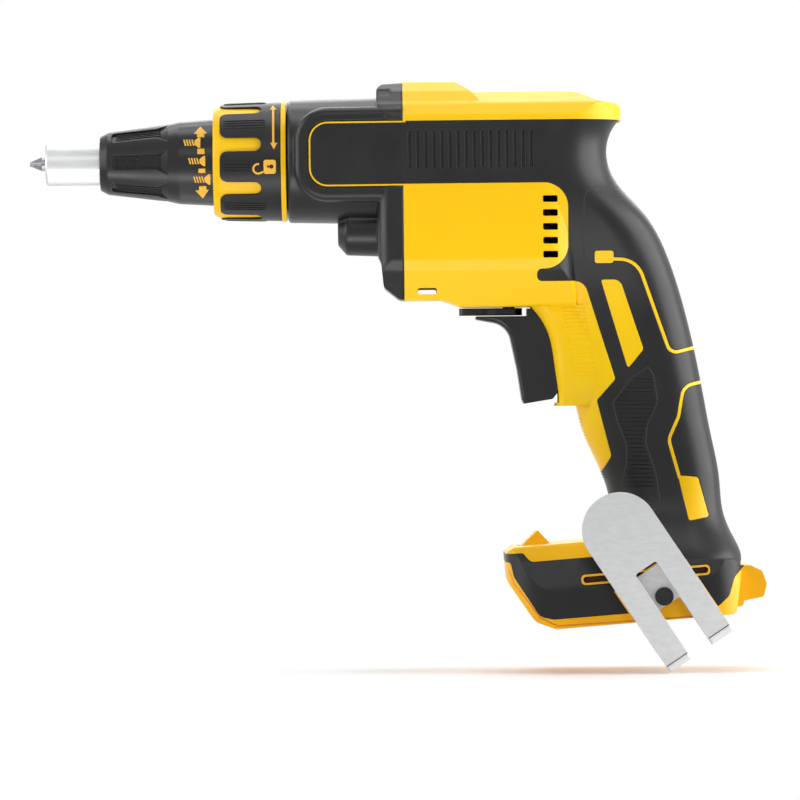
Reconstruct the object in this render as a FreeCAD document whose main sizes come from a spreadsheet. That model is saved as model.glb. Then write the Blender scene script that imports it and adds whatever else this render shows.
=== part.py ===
import FreeCAD, Part

import math
import os
import re

import Sketcher

# Cordless drywall screwdriver, in millimetres.
# The origin is the tip of the bit on the spindle axis. The nose points along -X,
# +Z is up, and the tool's left side is -Y.

Vector = FreeCAD.Vector
Rotation = FreeCAD.Rotation
Placement = FreeCAD.Placement

# Driving dimensions
SIZES = {
    # Fits and walls
    "face_gap": 0.4,
    "run_fit": 0.08,
    "seat_fit": 0.04,
    "skin": 1.6,
    "wall": 2.4,
    # Bit, holder and nosepiece
    "bit_reach": 6.0,
    "bit_exposed": 12.0,
    "bit_length": 25.4,
    "bit_across": 6.35,
    "bit_neck_radius": 2.6,
    "bit_neck_length": 9.0,
    "holder_radius": 4.7,
    "holder_length": 40.0,
    "holder_shank": 12.0,
    "magnet_length": 3.0,
    "nose_reach": 20.4,
    "nose_radius": 8.2,
    "nose_bore": 5.2,
    "nose_inside": 20.0,
    "nose_thread_length": 10.0,
    "nose_thread_radius": 10.0,
    "nose_travel": 1.5,
    # Depth cone
    "cone_length": 42.2,
    "cone_lip_radius": 10.2,
    "cone_front_radius": 11.8,
    "cone_waist_radius": 14.6,
    "cone_taper": 25.6,
    "cone_end_radius": 16.3,
    "cone_skirt": 7.0,
    "flute_count": 7,
    "flute_width": 5.3,
    "flute_depth": 0.9,
    # Lock collar
    "collar_length": 27.3,
    "collar_radius": 22.2,
    "collar_nose_radius": 19.9,
    "collar_ring": 2.6,
    "collar_band": 7.4,
    "collar_rear_ring": 1.9,
    "finger_count": 8,
    "finger_angle": 31.0,
    "finger_height": 1.2,
    "finger_round": 3.0,
    # Gear case
    "case_length": 43.2,
    "case_radius": 23.6,
    "snout_radius": 12.0,
    "snout_bore": 8.6,
    "collar_seat": 17.9,
    "snout_length": 46.0,
    "flange_length": 6.0,
    "saddle_margin": 5.5,
    "saddle_round": 3.0,
    "tongue_gap": 0.15,
    "pinion_nose_length": 24.7,
    "pinion_nose_radius": 10.1,
    "case_screw_radius": 1.9,
    # Body
    "body_half": 29.5,
    "cap_crest": 28.9,
    "cap_top": 24.9,
    "cap_crease": 20.2,
    "cap_flat_half": 13.0,
    "cap_bevel": 3.5,
    "cap_hump_length": 19.0,
    "cap_length": 81.4,
    "band_top": 13.7,
    "band_bottom": -10.3,
    "band_reach": 35.0,
    "band_corner": 7.0,
    "band_rim": 0.6,
    "tongue_half": 27.0,
    "tongue_seat": 24.4,
    "side_crease": -38.0,
    "body_bottom": -52.6,
    "keel_bottom": -55.4,
    "keel_half": 19.0,
    "barrel_length": 64.0,
    "barrel_corner": 12.0,
    "rear_corner": 21.0,
    # Gears and motor
    "gear_module": 1.0,
    "pinion_teeth": 12,
    "gear_teeth": 40,
    "gear_width": 8.0,
    "gear_back": 2.0,
    "backlash": 0.16,
    "pressure_angle": 25.0,
    "jaw_height": 2.0,
    "jaw_gap": 2.5,
    "spring_discs": 4,
    "spring_rise": 1.6,
    "spring_sheet": 0.8,
    "spring_pocket": 3.0,
    "spindle_radius": 5.0,
    "spindle_nose_radius": 7.0,
    "flange_radius": 14.0,
    "plate_thickness": 5.0,
    "shaft_radius": 2.5,
    "bearing_radius": 8.0,
    "bearing_width": 5.0,
    "stator_radius": 22.0,
    "stator_bore": 12.0,
    "stator_length": 26.0,
    "stator_setback": 14.0,
    "rotor_gap": 0.6,
    "coil_overhang": 4.5,
    "fan_radius": 21.0,
    "fan_width": 7.0,
    "fan_setback": 51.0,
    "fan_blades": 11,
    # Trigger, switch and reversing lever
    "trigger_half": 10.5,
    "trigger_housing_half": 17.0,
    "chin_height": -92.6,
    "trigger_travel": 6.5,
    "trigger_rear": 57.3,
    "trigger_top": -58.9,
    "trigger_shoulder": 45.6,
    "trigger_round": 2.0,
    "nib_round": 0.3,
    "stem_radius": 3.0,
    "lever_height": 2.7,
    "lever_pivot": 39.0,
    "lever_pin_radius": 2.2,
    # Foot and battery channel
    "foot_tilt": 4.2,
    "foot_half": 34.0,
    "foot_length": 88.0,
    "foot_front": 15.6,
    "foot_top": 31.3,
    "plate_length": 28.0,
    "plate_edge": 25.5,
    "rail_height": 3.6,
    "rail_half": 23.0,
    "channel_half": 26.5,
    "channel_height": 15.0,
    "channel_length": 64.0,
    # Belt hook
    "hook_lean": 33.4,
    "hook_width": 28.0,
    "hook_slot": 9.2,
    "hook_length": 68.0,
    "hook_reach": 24.4,
    "hook_bend": 3.4,
    "hook_sheet": 1.6,
    "hook_gap": 6.4,
    "hook_screw_radius": 2.0,
    "hook_screw_along": 41.6,
    "hook_screw_height": 8.9,
    "hook_screw_up": 11.4,
    "insert_radius": 2.9,
    "insert_length": 6.0,
    # Small moulded details
    "piping_width": 1.2,
    "vent_start": 51.6,
    "vent_length": 5.5,
    "vent_height": 2.5,
    "vent_pitch": 5.15,
    "slot_start": 12.4,
    "slot_length": 46.2,
    "slot_height": 17.3,
    "slot_depth": 3.0,
    "groove_count": 16,
    "groove_start": 2.0,
    "groove_pitch": 3.0,
    "groove_depth": 0.8,
    "lamp_half": 11.0,
    "lens_half": 3.6,
    "guard_half": 24.0,
    "housing_screw_radius": 1.6,
    "screw_bite": 9.0,
    "screw_head_depth": 6.0,
    "case_screw_bite": 12.0,
}

doc = FreeCAD.newDocument("drywall_screwdriver")
dim = doc.addObject("Spreadsheet::Sheet", "dim")
for row, (alias, amount) in enumerate(SIZES.items(), start=1):
    dim.set(f"A{row}", alias)
    dim.set(f"B{row}", str(amount))
    dim.setAlias(f"B{row}", alias)
doc.recompute()

PIECES = {}


# Sheet and document helpers
def formula(text):
    """Turn size names into references to the sheet."""
    def refer(word):
        return "dim." + word.group() if word.group() in SIZES else word.group()
    return re.sub(r"[a-z][a-z_]*", refer, str(text))


def number(text):
    return float(dim.evalExpression(formula(text)))


def bind(thing, expressions):
    for name, text in expressions.items():
        thing.setExpression(name, formula(text))


def piece(label, thing):
    thing.Label = label
    PIECES[label] = thing
    return thing


# Sketch helper: a closed outline whose corners are (u, v) or (u, v, radius)
def draw(sketch, corners):
    count = len(corners)
    points = [Vector(number(c[0]), number(c[1]), 0) for c in corners]
    radii = [number(c[2]) if len(c) > 2 else 0 for c in corners]
    arrive = list(points)
    leave = list(points)
    shapes = []
    arcs = {}
    for i, point in enumerate(points):
        if radii[i] <= 0:
            continue
        back = (points[i - 1] - point).normalize()
        ahead = (points[(i + 1) % count] - point).normalize()
        half = back.getAngle(ahead) / 2
        inward = (back + ahead).normalize()
        arrive[i] = point + back * (radii[i] / math.tan(half))
        leave[i] = point + ahead * (radii[i] / math.tan(half))
        middle = point + inward * (radii[i] / math.sin(half) - radii[i])
        turns_left = back.cross(ahead).z < 0
        arcs[i] = (len(shapes), turns_left)
        shapes.append(Part.Arc(arrive[i], middle, leave[i]))
    lines = []
    for i in range(count):
        lines.append(len(shapes))
        shapes.append(Part.LineSegment(leave[i], arrive[(i + 1) % count]))
    sketch.addGeometry(shapes)
    marks = {}
    for i in arcs:
        marks[i] = sketch.addGeometry(Part.Point(points[i]), True)
    rules = []
    bound = []

    def rule(text, *terms):
        if text is not None and re.search("[a-z]", str(text)):
            bound.append((len(rules), formula(text)))
        rules.append(Sketcher.Constraint(*terms))

    for i, point in enumerate(points):
        before, after = lines[i - 1], lines[i]
        if i in arcs:
            arc, turns_left = arcs[i]
            first, last = (1, 2) if turns_left else (2, 1)
            rule(None, "Tangent", before, 2, arc, first)
            rule(None, "Tangent", arc, last, after, 1)
            rule(corners[i][2], "Radius", arc, radii[i])
            rule(None, "PointOnObject", marks[i], 1, before)
            rule(None, "PointOnObject", marks[i], 1, after)
            owner = marks[i]
        else:
            rule(None, "Coincident", before, 2, after, 1)
            owner = after
        rule(corners[i][0], "DistanceX", -1, 1, owner, 1, point.x)
        rule(corners[i][1], "DistanceY", -1, 1, owner, 1, point.y)
    sketch.addConstraint(rules)
    for index, text in bound:
        sketch.setExpression(f"Constraints[{index}]", text)


UNIT = {"x": Vector(1, 0, 0), "y": Vector(0, 1, 0), "z": Vector(0, 0, 1)}
TURN = {
    "x": Rotation(Vector(0, 1, 0), Vector(0, 0, 1), Vector(1, 0, 0), "ZXY"),
    "y": Rotation(Vector(1, 0, 0), Vector(0, 0, 1), Vector(0, -1, 0), "ZXY"),
    "z": Rotation(),
}


def prism(name, axis, corners, start, end, frame=None):
    """Extrude an outline along an axis of the tool, or of a tilted frame."""
    sketch = doc.addObject("Sketcher::SketchObject", name + "_outline")
    frame = frame or Placement()
    sketch.Placement = frame * Placement(UNIT[axis] * number(start), TURN[axis])
    draw(sketch, corners)
    solid = doc.addObject("Part::Extrusion", name)
    solid.Base = sketch
    solid.DirMode = "Custom"
    solid.Dir = frame.Rotation.multVec(UNIT[axis])
    solid.Solid = True
    bind(solid, {"LengthFwd": f"({end}) - ({start})"})
    return solid


def slab(name, axis, half, corners, frame=None):
    """Extrude an outline to both sides of the frame's middle plane."""
    return prism(name, axis, corners, f"-({half})", half, frame)


def rod(name, start, end, radius, height="0", side="0"):
    """Plain round bar along X."""
    bar = doc.addObject("Part::Cylinder", name)
    bar.Placement = Placement(Vector(), Rotation(Vector(0, 1, 0), 90))
    bind(bar, {"Radius": radius, "Height": f"({end}) - ({start})", "Placement.Base.x": start,
               "Placement.Base.y": side, "Placement.Base.z": height})
    return bar


def turned(label, corners, height="0"):
    """Body turned about an axis along X; corners are (x, radius)."""
    body = doc.addObject("PartDesign::Body", label)
    sketch = body.newObject("Sketcher::SketchObject", label + "_profile")
    planes = {plane.Role: plane for plane in body.Origin.OriginFeatures}
    sketch.AttachmentSupport = (planes["XZ_Plane"], [""])
    sketch.MapMode = "FlatFace"
    draw(sketch, corners)
    turn = body.newObject("PartDesign::Revolution", label + "_turn")
    turn.Profile = sketch
    turn.ReferenceAxis = (sketch, ["H_Axis"])
    turn.Angle = 360
    bind(body, {"Placement.Base.z": height})
    return body


def fuse(name, shapes):
    joined = doc.addObject("Part::MultiFuse", name)
    joined.Shapes = shapes
    return joined


def group(name, shapes):
    gathered = doc.addObject("Part::Compound", name)
    gathered.Links = shapes
    return gathered


def cut(name, base, *tools):
    """Take tools that stand clear of each other out of a solid."""
    tool = tools[0] if len(tools) == 1 else group(name + "_tools", list(tools))
    remainder = doc.addObject("Part::Cut", name)
    remainder.Base = base
    remainder.Tool = tool
    return remainder


def common(name, first, second):
    shared = doc.addObject("Part::Common", name)
    shared.Base = first
    shared.Tool = second
    return shared


def ends_of(edge):
    return [edge.valueAt(edge.FirstParameter), edge.valueAt(edge.LastParameter)]


def rounded(name, base, radii):
    """Fillet the edges of a solid for which a function gives the radii at both ends."""
    doc.recompute()
    smooth = doc.addObject("Part::Fillet", name)
    smooth.Base = base
    edges = enumerate(base.Shape.Edges, start=1)
    smooth.Edges = [(i, *radii(edge)) for i, edge in edges if radii(edge)]
    return smooth


def box_corners(left, bottom, right, top, radius=None):
    corners = [(left, bottom), (right, bottom), (right, top), (left, top)]
    return corners if radius is None else [corner + (radius,) for corner in corners]


def mirrored(half):
    """Close an outline given by its right half, from top to bottom, on both sides of u = 0."""
    left = [(f"-({corner[0]})",) + tuple(corner[1:]) for corner in reversed(half)]
    return list(half) + left


# Places along the spindle axis, chained from the bit tip
X_CONE = "(bit_reach + nose_reach)"
X_COLLAR = f"({X_CONE} + cone_length + face_gap)"
X_CASE = f"({X_COLLAR} + collar_length + face_gap)"
X_JOINT = f"({X_CASE} + case_length)"
X_GEAR = f"({X_JOINT} - gear_back - gear_width)"
Z_MOTOR = "(-gear_module * (pinion_teeth + gear_teeth) / 2)"


def behind(distance):
    """Place behind the joint of gear case and body."""
    return f"({X_JOINT} + ({distance}))"


# Frames of the tilted foot and of the belt hook on its left side
FOOT_CORNER = (54.0, -175.3)
FOOT = Placement(Vector(number(behind(FOOT_CORNER[0])), 0, FOOT_CORNER[1]),
                 Rotation(Vector(0, 1, 0), -number("foot_tilt")))
HOOK_LEAN = math.radians(number("hook_lean"))
HOOK = Placement(
    FOOT.multVec(Vector(number("hook_screw_along"), -number("foot_half"), number("hook_screw_height"))),
    Rotation(Vector(math.sin(HOOK_LEAN), 0, -math.cos(HOOK_LEAN)),
             Vector(math.cos(HOOK_LEAN), 0, math.sin(HOOK_LEAN)), Vector(0, -1, 0), "ZXY"))
LAMP = FOOT * Placement(Vector(-7.2, 0, number("foot_top + 1.6")), Rotation(Vector(0, 1, 0), 50.4))


# Envelope of the body: barrel, grip and foot, each taken in by an inset
def body_section(name, inset, start, end):
    """Cross-section of the barrel, swept straight along X."""
    side = f"body_half - {inset}"
    return prism(name, "x", mirrored([
        ("cap_flat_half", f"cap_top - {inset}", 6),
        (f"body_half - cap_bevel - {inset}", f"cap_crease - {inset}", 3),
        (side, f"band_top + 2 - {inset}", 1.5),
        (side, "side_crease", 4),
        (f"body_half - 1.8 - {inset}", "side_crease - 4", 4),
        (f"keel_half - {inset}", f"keel_bottom + {inset}", 3),
    ]), start, end)


def hump_section(name, inset, start, end):
    return prism(name, "x", mirrored([
        ("cap_flat_half - 1", f"cap_crest - {inset}", 5),
        (f"cap_flat_half + 6.5 - {inset}", f"cap_crest - 3.9 - {inset}", 2),
        (f"body_half - 1 - {inset}", f"band_top + 2 - {inset}", 1),
        (f"body_half - 1 - {inset}", "0"),
    ]), start, end)


def barrel(name, inset):
    section = body_section(name + "_section", inset, X_JOINT, behind("cap_length"))
    end = behind(f"cap_length - {inset}")
    cap_profile = slab(name + "_cap_profile", "y", "body_half + 5", [
        (behind(-1), "band_top"),
        (end, "band_top"),
        (end, f"cap_top - 5.2 - {inset}", f"3 - {inset} / 2"),
        (behind("cap_length - 8.4"), f"cap_top - 4.4 - {inset}", 10),
        (behind("cap_length - 17.4"), f"cap_top + 0.1 - {inset}", 20),
        (behind(-1), f"cap_top + 0.1 - {inset}"),
    ])
    cap_plan = prism(name + "_cap_plan", "z", [
        (behind(-2), f"-body_half + {inset}"),
        (end, f"-body_half + {inset}", "rear_corner"),
        (end, f"body_half - {inset}", "rear_corner"),
        (behind(-2), f"body_half - {inset}"),
    ], "band_top - 1", "cap_crest + 5")
    hump_profile = slab(name + "_hump_profile", "y", "body_half + 5", [
        (behind(-1), "band_top + 1"),
        (behind("cap_hump_length + 15"), "band_top + 1"),
        (behind("cap_hump_length + 6.5"), f"cap_top - {inset}", 6),
        (behind("cap_hump_length"), f"cap_crest - {inset}", 3),
        (behind(-1), f"cap_crest - {inset}"),
    ])
    low_end = behind(f"barrel_length - {inset}")
    low_profile = slab(name + "_low_profile", "y", "body_half + 5", [
        (behind("-1"), "band_top"),
        (behind("-1"), f"body_bottom + {inset}"),
        (behind("14"), f"body_bottom + {inset}", 6),
        (behind("21.5"), f"keel_bottom + {inset}", 6),
        (low_end, f"keel_bottom + {inset}"),
        (low_end, "band_top"),
    ])
    low_plan = prism(name + "_low_plan", "z", [
        (behind(-2), f"-body_half + {inset}"),
        (low_end, f"-body_half + {inset}", "barrel_corner"),
        (low_end, f"body_half - {inset}", "barrel_corner"),
        (behind(-2), f"body_half - {inset}"),
    ], "keel_bottom - 5", "band_top + 1")
    hump = hump_section(name + "_hump_section", inset, X_JOINT, behind("cap_hump_length + 15"))
    cap = common(name + "_cap", common(name + "_cap_trim", section, cap_profile), cap_plan)
    low = common(name + "_low", common(name + "_low_trim", section, low_profile), low_plan)
    crest = common(name + "_hump", hump, hump_profile)
    return [cap, low, crest]


def lofted(name, stations):
    """Loft through level rounded rectangles: height, front, back, half width, corner radius."""
    sections = []
    for place, (height, front, back, half, corner) in enumerate(stations):
        sketch = doc.addObject("Sketcher::SketchObject", f"{name}_station_{place}")
        bind(sketch, {"Placement.Base.z": height})
        draw(sketch, box_corners(behind(front), f"-({half})", behind(back), half, corner))
        sections.append(sketch)
    loft = doc.addObject("Part::Loft", name)
    loft.Sections = sections
    loft.Solid = True
    return loft


# Grip stations: height, then front and back behind the joint, half width, corner radius
GRIP = [
    ("band_top", 30, 80.6, 29.2, 20),
    ("band_top - 5.2", 30, 77.2, 29.4, 20),
    (0, 30, 76.0, 29.4, 20),
    (-8.5, 30, 79.0, 29.2, 20),
    (-20, 34, 88.9, 27.8, 19),
    (-36, 44, 98.0, 23.5, 17),
    (-57, 56, 104.7, 18.8, 15),
    (-82, 62, 110.2, 17.6, 14.5),
    (-104, 67, 114.2, 16.8, 14),
    (-121, 74.3, 117.2, 16.9, 14),
    (-132.5, 76.5, 118.3, 18.6, 15),
    (-141, 75, 121.4, 23.5, 17),
    (-150, 66, 124.6, 29.5, 18),
    (-157, 62, 122.5, 32.0, 18),
]


def grip(name, inset, stations):
    return lofted(name, [
        (height, f"{front} + {inset}", f"{back} - {inset}", f"{half} - ({inset})", f"{corner} - ({inset})")
        for height, front, back, half, corner in stations])


# Trigger housing stations: height, front behind the joint, and how far the sides draw in
TRIGGER_HOUSING = [
    (-50, 42, 0),
    (-56, 47.5, 0),
    (-64, 52.8, 0),
    (-74, 55.2, 0),
    (-84, 56.4, 0.8),
    ("chin_height", 55.6, 3.2),
]


def trigger_housing(name, inset):
    stations = []
    for height, front, drawn in TRIGGER_HOUSING:
        level = f"{height} + {inset}" if height == "chin_height" else height
        half = f"trigger_housing_half - {drawn} - ({inset})"
        stations.append((level, f"{front} + {inset}", 84, half, f"7 - ({inset})"))
    return lofted(name, stations)


def foot(name, inset):
    front = f"-foot_front + {inset}"
    rear = f"foot_length - foot_front - {inset}"
    half = f"foot_half - {inset}"
    profile = slab(name + "_profile", "y", "foot_half + 5", [
        (front, f"foot_top - 2 - {inset}", 1.5),
        (f"{front} + 0.1", "18.6", 6),
        (f"{front} + 9", "3.3", 6),
        ("0.8", "0", 3),
        (f"{rear} - 4.4", "0", 2),
        (rear, "20", 4),
        ("44", f"22 - {inset}", 10),
        ("plate_length", f"foot_top - {inset}", 6),
        (f"{front} + 3.6", f"foot_top - {inset}", 2),
    ], FOOT)
    section = prism(name + "_section", "x", mirrored([
        ("foot_half - 6.5", f"foot_top - {inset}", 2),
        (f"{half} - 3.4", "plate_edge + 0.6", 3),
        (half, "15", 8),
        (half, "-1"),
    ]), "-foot_front - 5", "foot_length", FOOT)
    plan = prism(name + "_plan", "z", [
        (front, f"-({half})", 15),
        (rear, f"-({half})", 14),
        (rear, half, 14),
        (front, half, 15),
    ], -5, "foot_top + 30", FOOT)
    return common(name, common(name + "_trim", profile, section), plan)


def tongues(name, inset):
    """Cheeks of the housing that reach forward along both sides of the gear case."""
    outline = slab(name + "_side", "y", "body_half + 5", [
        (behind("1"), "band_top"),
        (behind("-band_reach"), "band_top", "band_corner"),
        (behind("-band_reach"), "band_bottom", "band_corner"),
        (behind("1"), "band_bottom"),
    ])
    plans = []
    for side, sign in (("left", "-1"), ("right", "1")):
        plans.append(prism(f"{name}_{side}_plan", "z", [
            (behind("-band_reach - 1"), f"{sign} * tongue_seat"),
            (behind("1"), f"{sign} * tongue_seat"),
            (behind("1"), f"{sign} * (body_half - {inset})"),
            (behind("-band_reach - 1"), f"{sign} * (tongue_half - {inset})"),
        ], "band_bottom - 1", "band_top + 1"))
    return common(name, group(name + "_plans", plans), outline)


def envelope(name, inset, extras):
    shapes = barrel(name + "_barrel", inset)
    shapes.append(grip(name + "_grip", inset, GRIP))
    shapes.append(trigger_housing(name + "_trigger_housing", inset))
    shapes.append(foot(name + "_foot", inset))
    shapes.append(tongues(name + "_tongues", inset))
    return fuse(name, shapes + extras)


def through(name, corners, frame=None):
    """Side-view outline carried right through the tool."""
    return slab(name, "y", "foot_half + 10", corners, frame)


def on_foot(along, up, *radius):
    """Corner of a side-view outline given in the tilted foot's own frame."""
    x = f"{FOOT_CORNER[0]} + ({along}) * cos(foot_tilt) - ({up}) * sin(foot_tilt)"
    z = f"{FOOT_CORNER[1]} + ({along}) * sin(foot_tilt) + ({up}) * cos(foot_tilt)"
    return (behind(x), z) + radius


def stroke(name, path, width):
    """Band of even width along a path of (behind, height, bend radius), carried through the tool."""
    points = [Vector(x, z, 0) for x, z, bend in path]
    one_side = []
    other_side = []
    for i, point in enumerate(points):
        back = (point - points[i - 1]) if i > 0 else (points[1] - point)
        ahead = (points[i + 1] - point) if i + 1 < len(points) else (point - points[i - 1])
        back.normalize()
        ahead.normalize()
        middle = (back + ahead).normalize()
        half = 0.5 / middle.dot(back)
        turn = 1 if back.cross(ahead).z > 0 else -1
        for side, sign in ((one_side, 1), (other_side, -1)):
            corner = (behind(f"{point.x} - {sign * half * middle.y} * {width}"),
                      f"{point.y} + {sign * half * middle.x} * {width}")
            bend = path[i][2]
            side.append(corner + (f"{bend} - {sign * turn / 2} * {width}",) if bend else corner)
    return through(name, one_side + other_side[::-1])


# Lamp prism on the foot's front and guard at its rear, moulded with the housing
lamp_block = slab("lamp_block", "y", "lamp_half", [
    ("-foot_front + 3.8", "foot_top - 2.2"),
    ("1.6", "foot_top - 2.2"),
    ("1.6", "foot_top + 0.2"),
    ("-2.6", "foot_top + 5.4", 0.8),
], FOOT)
rear_guard = slab("rear_guard", "y", "guard_half", [
    ("foot_length - 26", "1.5"),
    ("foot_length - 17", "2.6", 0.8),
    ("foot_length - 16.6", "4.4"),
    ("foot_length - 9.1", "5.4", 1.2),
    ("foot_length - 7.6", "10", 2),
    ("foot_length - 8.9", "15", 2),
    ("foot_length - 13.2", "17.4", 1),
    ("foot_length - 26", "18"),
], FOOT)

outer = envelope("outer", "0", [lamp_block, rear_guard])
inner = envelope("inner", "skin", [])

# Side-view zone of the soft overmould, with the yellow inlays left out of it
grip_zone = through("grip_zone", [
    (behind("-band_reach + band_rim"), "band_top - band_rim", "band_corner - band_rim"),
    (behind("-band_reach + band_rim"), "band_bottom + band_rim", "band_corner - band_rim"),
    (behind(61), "band_bottom + band_rim", 9),
    (behind(61), -41.6, 9),
    (behind(49.3), -41.6, 1.8),
    (behind(49.3), -46.2, 1.8),
    (behind(66.8), -46.2, 5),
    (behind(78.2), -82.8, 1.5),
    (behind(71.2), -90.6, 1.5),
    (behind(76.5), -111.5, 2),
    (behind(73), -117.2),
    (behind(60), -117.2),
    (behind(60), -120),
    (behind(140), -120),
    (behind(140), "band_top"),
    (behind(1), "band_top"),
    (behind(1), "band_top - band_rim"),
])
foot_zone = through("foot_zone", [
    (behind(140), -118),
    (behind(60), -118),
    on_foot("plate_length - 14", "foot_top + 10"),
    on_foot("plate_length", "foot_top + 4"),
    on_foot("plate_length", "plate_edge", 2),
    on_foot("-6.5", "plate_edge", 3),
    on_foot("-9", "foot_top - 2.3", 1),
    on_foot("-foot_front - 8", "foot_top - 2"),
    on_foot("-foot_front - 8", "foot_top - 5.4"),
    on_foot("-foot_front + 1.7", "foot_top - 5.4", 1),
    on_foot("-foot_front + 2.6", "20.2", 5),
    on_foot("-4.6", "rail_height + 1.4", 4),
    on_foot("0.4", "rail_height", 3),
    on_foot("61.5", "rail_height", 2),
    on_foot("65.8", "rail_height + 3.4", 3),
    on_foot("68.3", "rail_height + 10", 4),
    on_foot("foot_length", "foot_top"),
])
zone_outline = fuse("zone_outline", [grip_zone, foot_zone])
patch = through("patch", [
    (behind(73.1), -45.8, 0.6),
    (behind(80.2), -45.8, 3.5),
    (behind(88.8), -71.8, 2),
    (behind(82.9), -78.9, 0.6),
])
upper_tab = through("upper_tab", box_corners(behind(70.8), -39.7, behind(77.8), -35.1, 1))
lower_tab = through("lower_tab", [
    (behind(101.2), -119),
    (behind(108.6), -119.6, 1.5),
    (behind(112.6), -134.4, 0.8),
    (behind(105), -135.8, 0.8),
])
upper_piping = stroke("upper_piping", [
    (77.4, -38.2, 0), (86.5, -38.6, 9), (98.8, -73.6, 3.5), (112, -70.4, 0)], "piping_width")
lower_piping = stroke("lower_piping", [
    (115, -83.2, 0), (103.6, -85.8, 5), (101.6, -97, 6), (97.8, -105.5, 5), (101.8, -120, 0)],
    "piping_width")
slot_border = through("slot_border", [
    on_foot("slot_start - 0.8", "slot_height - 1.9", 1.5),
    on_foot("slot_start + slot_length + 0.8", "slot_height - 1.9", 1.5),
    on_foot("slot_start + slot_length + 0.8", "slot_height + 1.9", 1.5),
    on_foot("slot_start - 0.8", "slot_height + 1.9", 1.5),
])
hook_seat = prism("hook_seat", "z", box_corners(
    "-hook_screw_up - 0.4", "-hook_width / 2 - 0.4", 60, "hook_width / 2 + 0.4"),
    -100, 100, HOOK)
inlays = [patch, upper_tab, lower_tab, slot_border, hook_seat]
zone = cut("zone", cut("inlaid_zone", zone_outline, *inlays), upper_piping, lower_piping)

# Room inside the housing, with ribs that seat the stator, the sensor board and the rear bearing
hollow_inset = "(skin + wall)"
hollow_space = fuse("hollow_space", barrel("hollow_barrel", hollow_inset) + [
    grip("hollow_grip", hollow_inset, GRIP[:-1]),
    trigger_housing("hollow_trigger_housing", hollow_inset)])


def rib(name, start, end, bore):
    """Bulkhead across the barrel with a round seat on the motor axis."""
    outline = box_corners("-body_half", "keel_bottom", "body_half", "band_top")
    web = prism(name + "_web", "x", outline, start, end)
    return cut(name, web, rod(name + "_seat", f"{start} - 1", f"{end} + 1", bore, Z_MOTOR))


def boss(name, place, height, radius):
    """Round column across the tool."""
    column = doc.addObject("Part::Cylinder", name)
    column.Placement = Placement(Vector(0, 0, 0), Rotation(Vector(1, 0, 0), 90))
    bind(column, {"Radius": radius, "Height": "2 * foot_half", "Placement.Base.x": behind(place),
                  "Placement.Base.y": "foot_half", "Placement.Base.z": height})
    return column


# Case screws: side and height of the four corners
CASE_SCREWS = [(-17.5, 22.2), (17.5, 22.2), (-20.5, -45), (20.5, -45)]

# Clamshell screws go in from the right side: place behind the joint and height
HOUSING_SCREWS = [(15, 10), (50, 9), (67, -42), (96, -74), (92, -112), (98, -141)]

STATOR_SEAT = "stator_radius + seat_fit"
ribs = [
    rib("front_stator_rib", behind("stator_setback + 2"), behind("stator_setback + 5"), STATOR_SEAT),
    rib("rear_stator_rib", behind("stator_setback + stator_length - 5"),
        behind("stator_setback + stator_length - 2"), STATOR_SEAT),
    rib("rear_bearing_rib", behind("fan_setback + fan_width + 1"),
        behind("fan_setback + fan_width + 1.2 + bearing_width"), "bearing_radius - 1.5"),
]
columns = [boss(f"screw_column_{i}", x, z, "housing_screw_radius + 2.2")
           for i, (x, z) in enumerate(HOUSING_SCREWS)]
COLUMN_REAR = behind("case_screw_bite + 2")
case_columns = [rod(f"case_column_{i}", X_JOINT, COLUMN_REAR, "case_screw_radius + 2", z, y)
                for i, (y, z) in enumerate(CASE_SCREWS)]
hollow = cut("hollow", cut("ribbed_space", hollow_space, *ribs), *columns, *case_columns)


# Openings in the housing
def pin(name, place, bottom, top, radius):
    """Upright round bar on the middle plane."""
    bar = doc.addObject("Part::Cylinder", name)
    bind(bar, {"Radius": radius, "Height": f"({top}) - ({bottom})", "Placement.Base.x": behind(place),
               "Placement.Base.z": bottom})
    return bar


PULLED_REAR = behind("trigger_rear + trigger_travel + face_gap")
trigger_opening = slab("trigger_opening", "y", "trigger_half + face_gap", [
    (behind(24), "trigger_top + 0.6"),
    (behind(24), "chin_height + 1.2"),
    (PULLED_REAR, "chin_height + 1.2"),
    (PULLED_REAR, "keel_bottom - 0.3"),
    (behind("trigger_shoulder - face_gap"), "keel_bottom - 0.3"),
    (behind("trigger_shoulder - face_gap"), "trigger_top + 0.6")])
lever_room = slab("lever_room", "y", 7, box_corners(
    behind("lever_pivot - 3"), "trigger_top - 0.1", behind("trigger_rear + 0.7"), "keel_bottom - 0.2"))
channel = slab("channel", "y", "channel_half", box_corners(
    -40, "rail_height", "channel_length", "channel_height"), FOOT)
channel_mouth = slab("channel_mouth", "y", "rail_half", box_corners(
    -40, -5, "channel_length", "rail_height + 0.1"), FOOT)
VENT_COUNT = 5
vents = []
for i in range(VENT_COUNT):
    low = f"{Z_MOTOR} + ({i} - {VENT_COUNT} / 2) * vent_pitch + (vent_pitch - vent_height) / 2"
    vents.append(through(f"vent_{i}", box_corners(
        behind("vent_start"), low, behind("vent_start + vent_length"), f"{low} + vent_height", 0.6)))
lever_pin_hole = pin("lever_pin_hole", "lever_pivot", "keel_bottom - 0.5", "keel_bottom + 3",
                     "lever_pin_radius + run_fit")
strap_slot = through("strap_slot", box_corners(behind(5), -50.6, behind(12), -48.3, 0.8))
side_slot = prism("side_slot", "y", box_corners(
    "slot_start", "slot_height - 1.1", "slot_start + slot_length", "slot_height + 1.1", 1),
    "-foot_half - 2", "-foot_half + slot_depth", FOOT)


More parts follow.
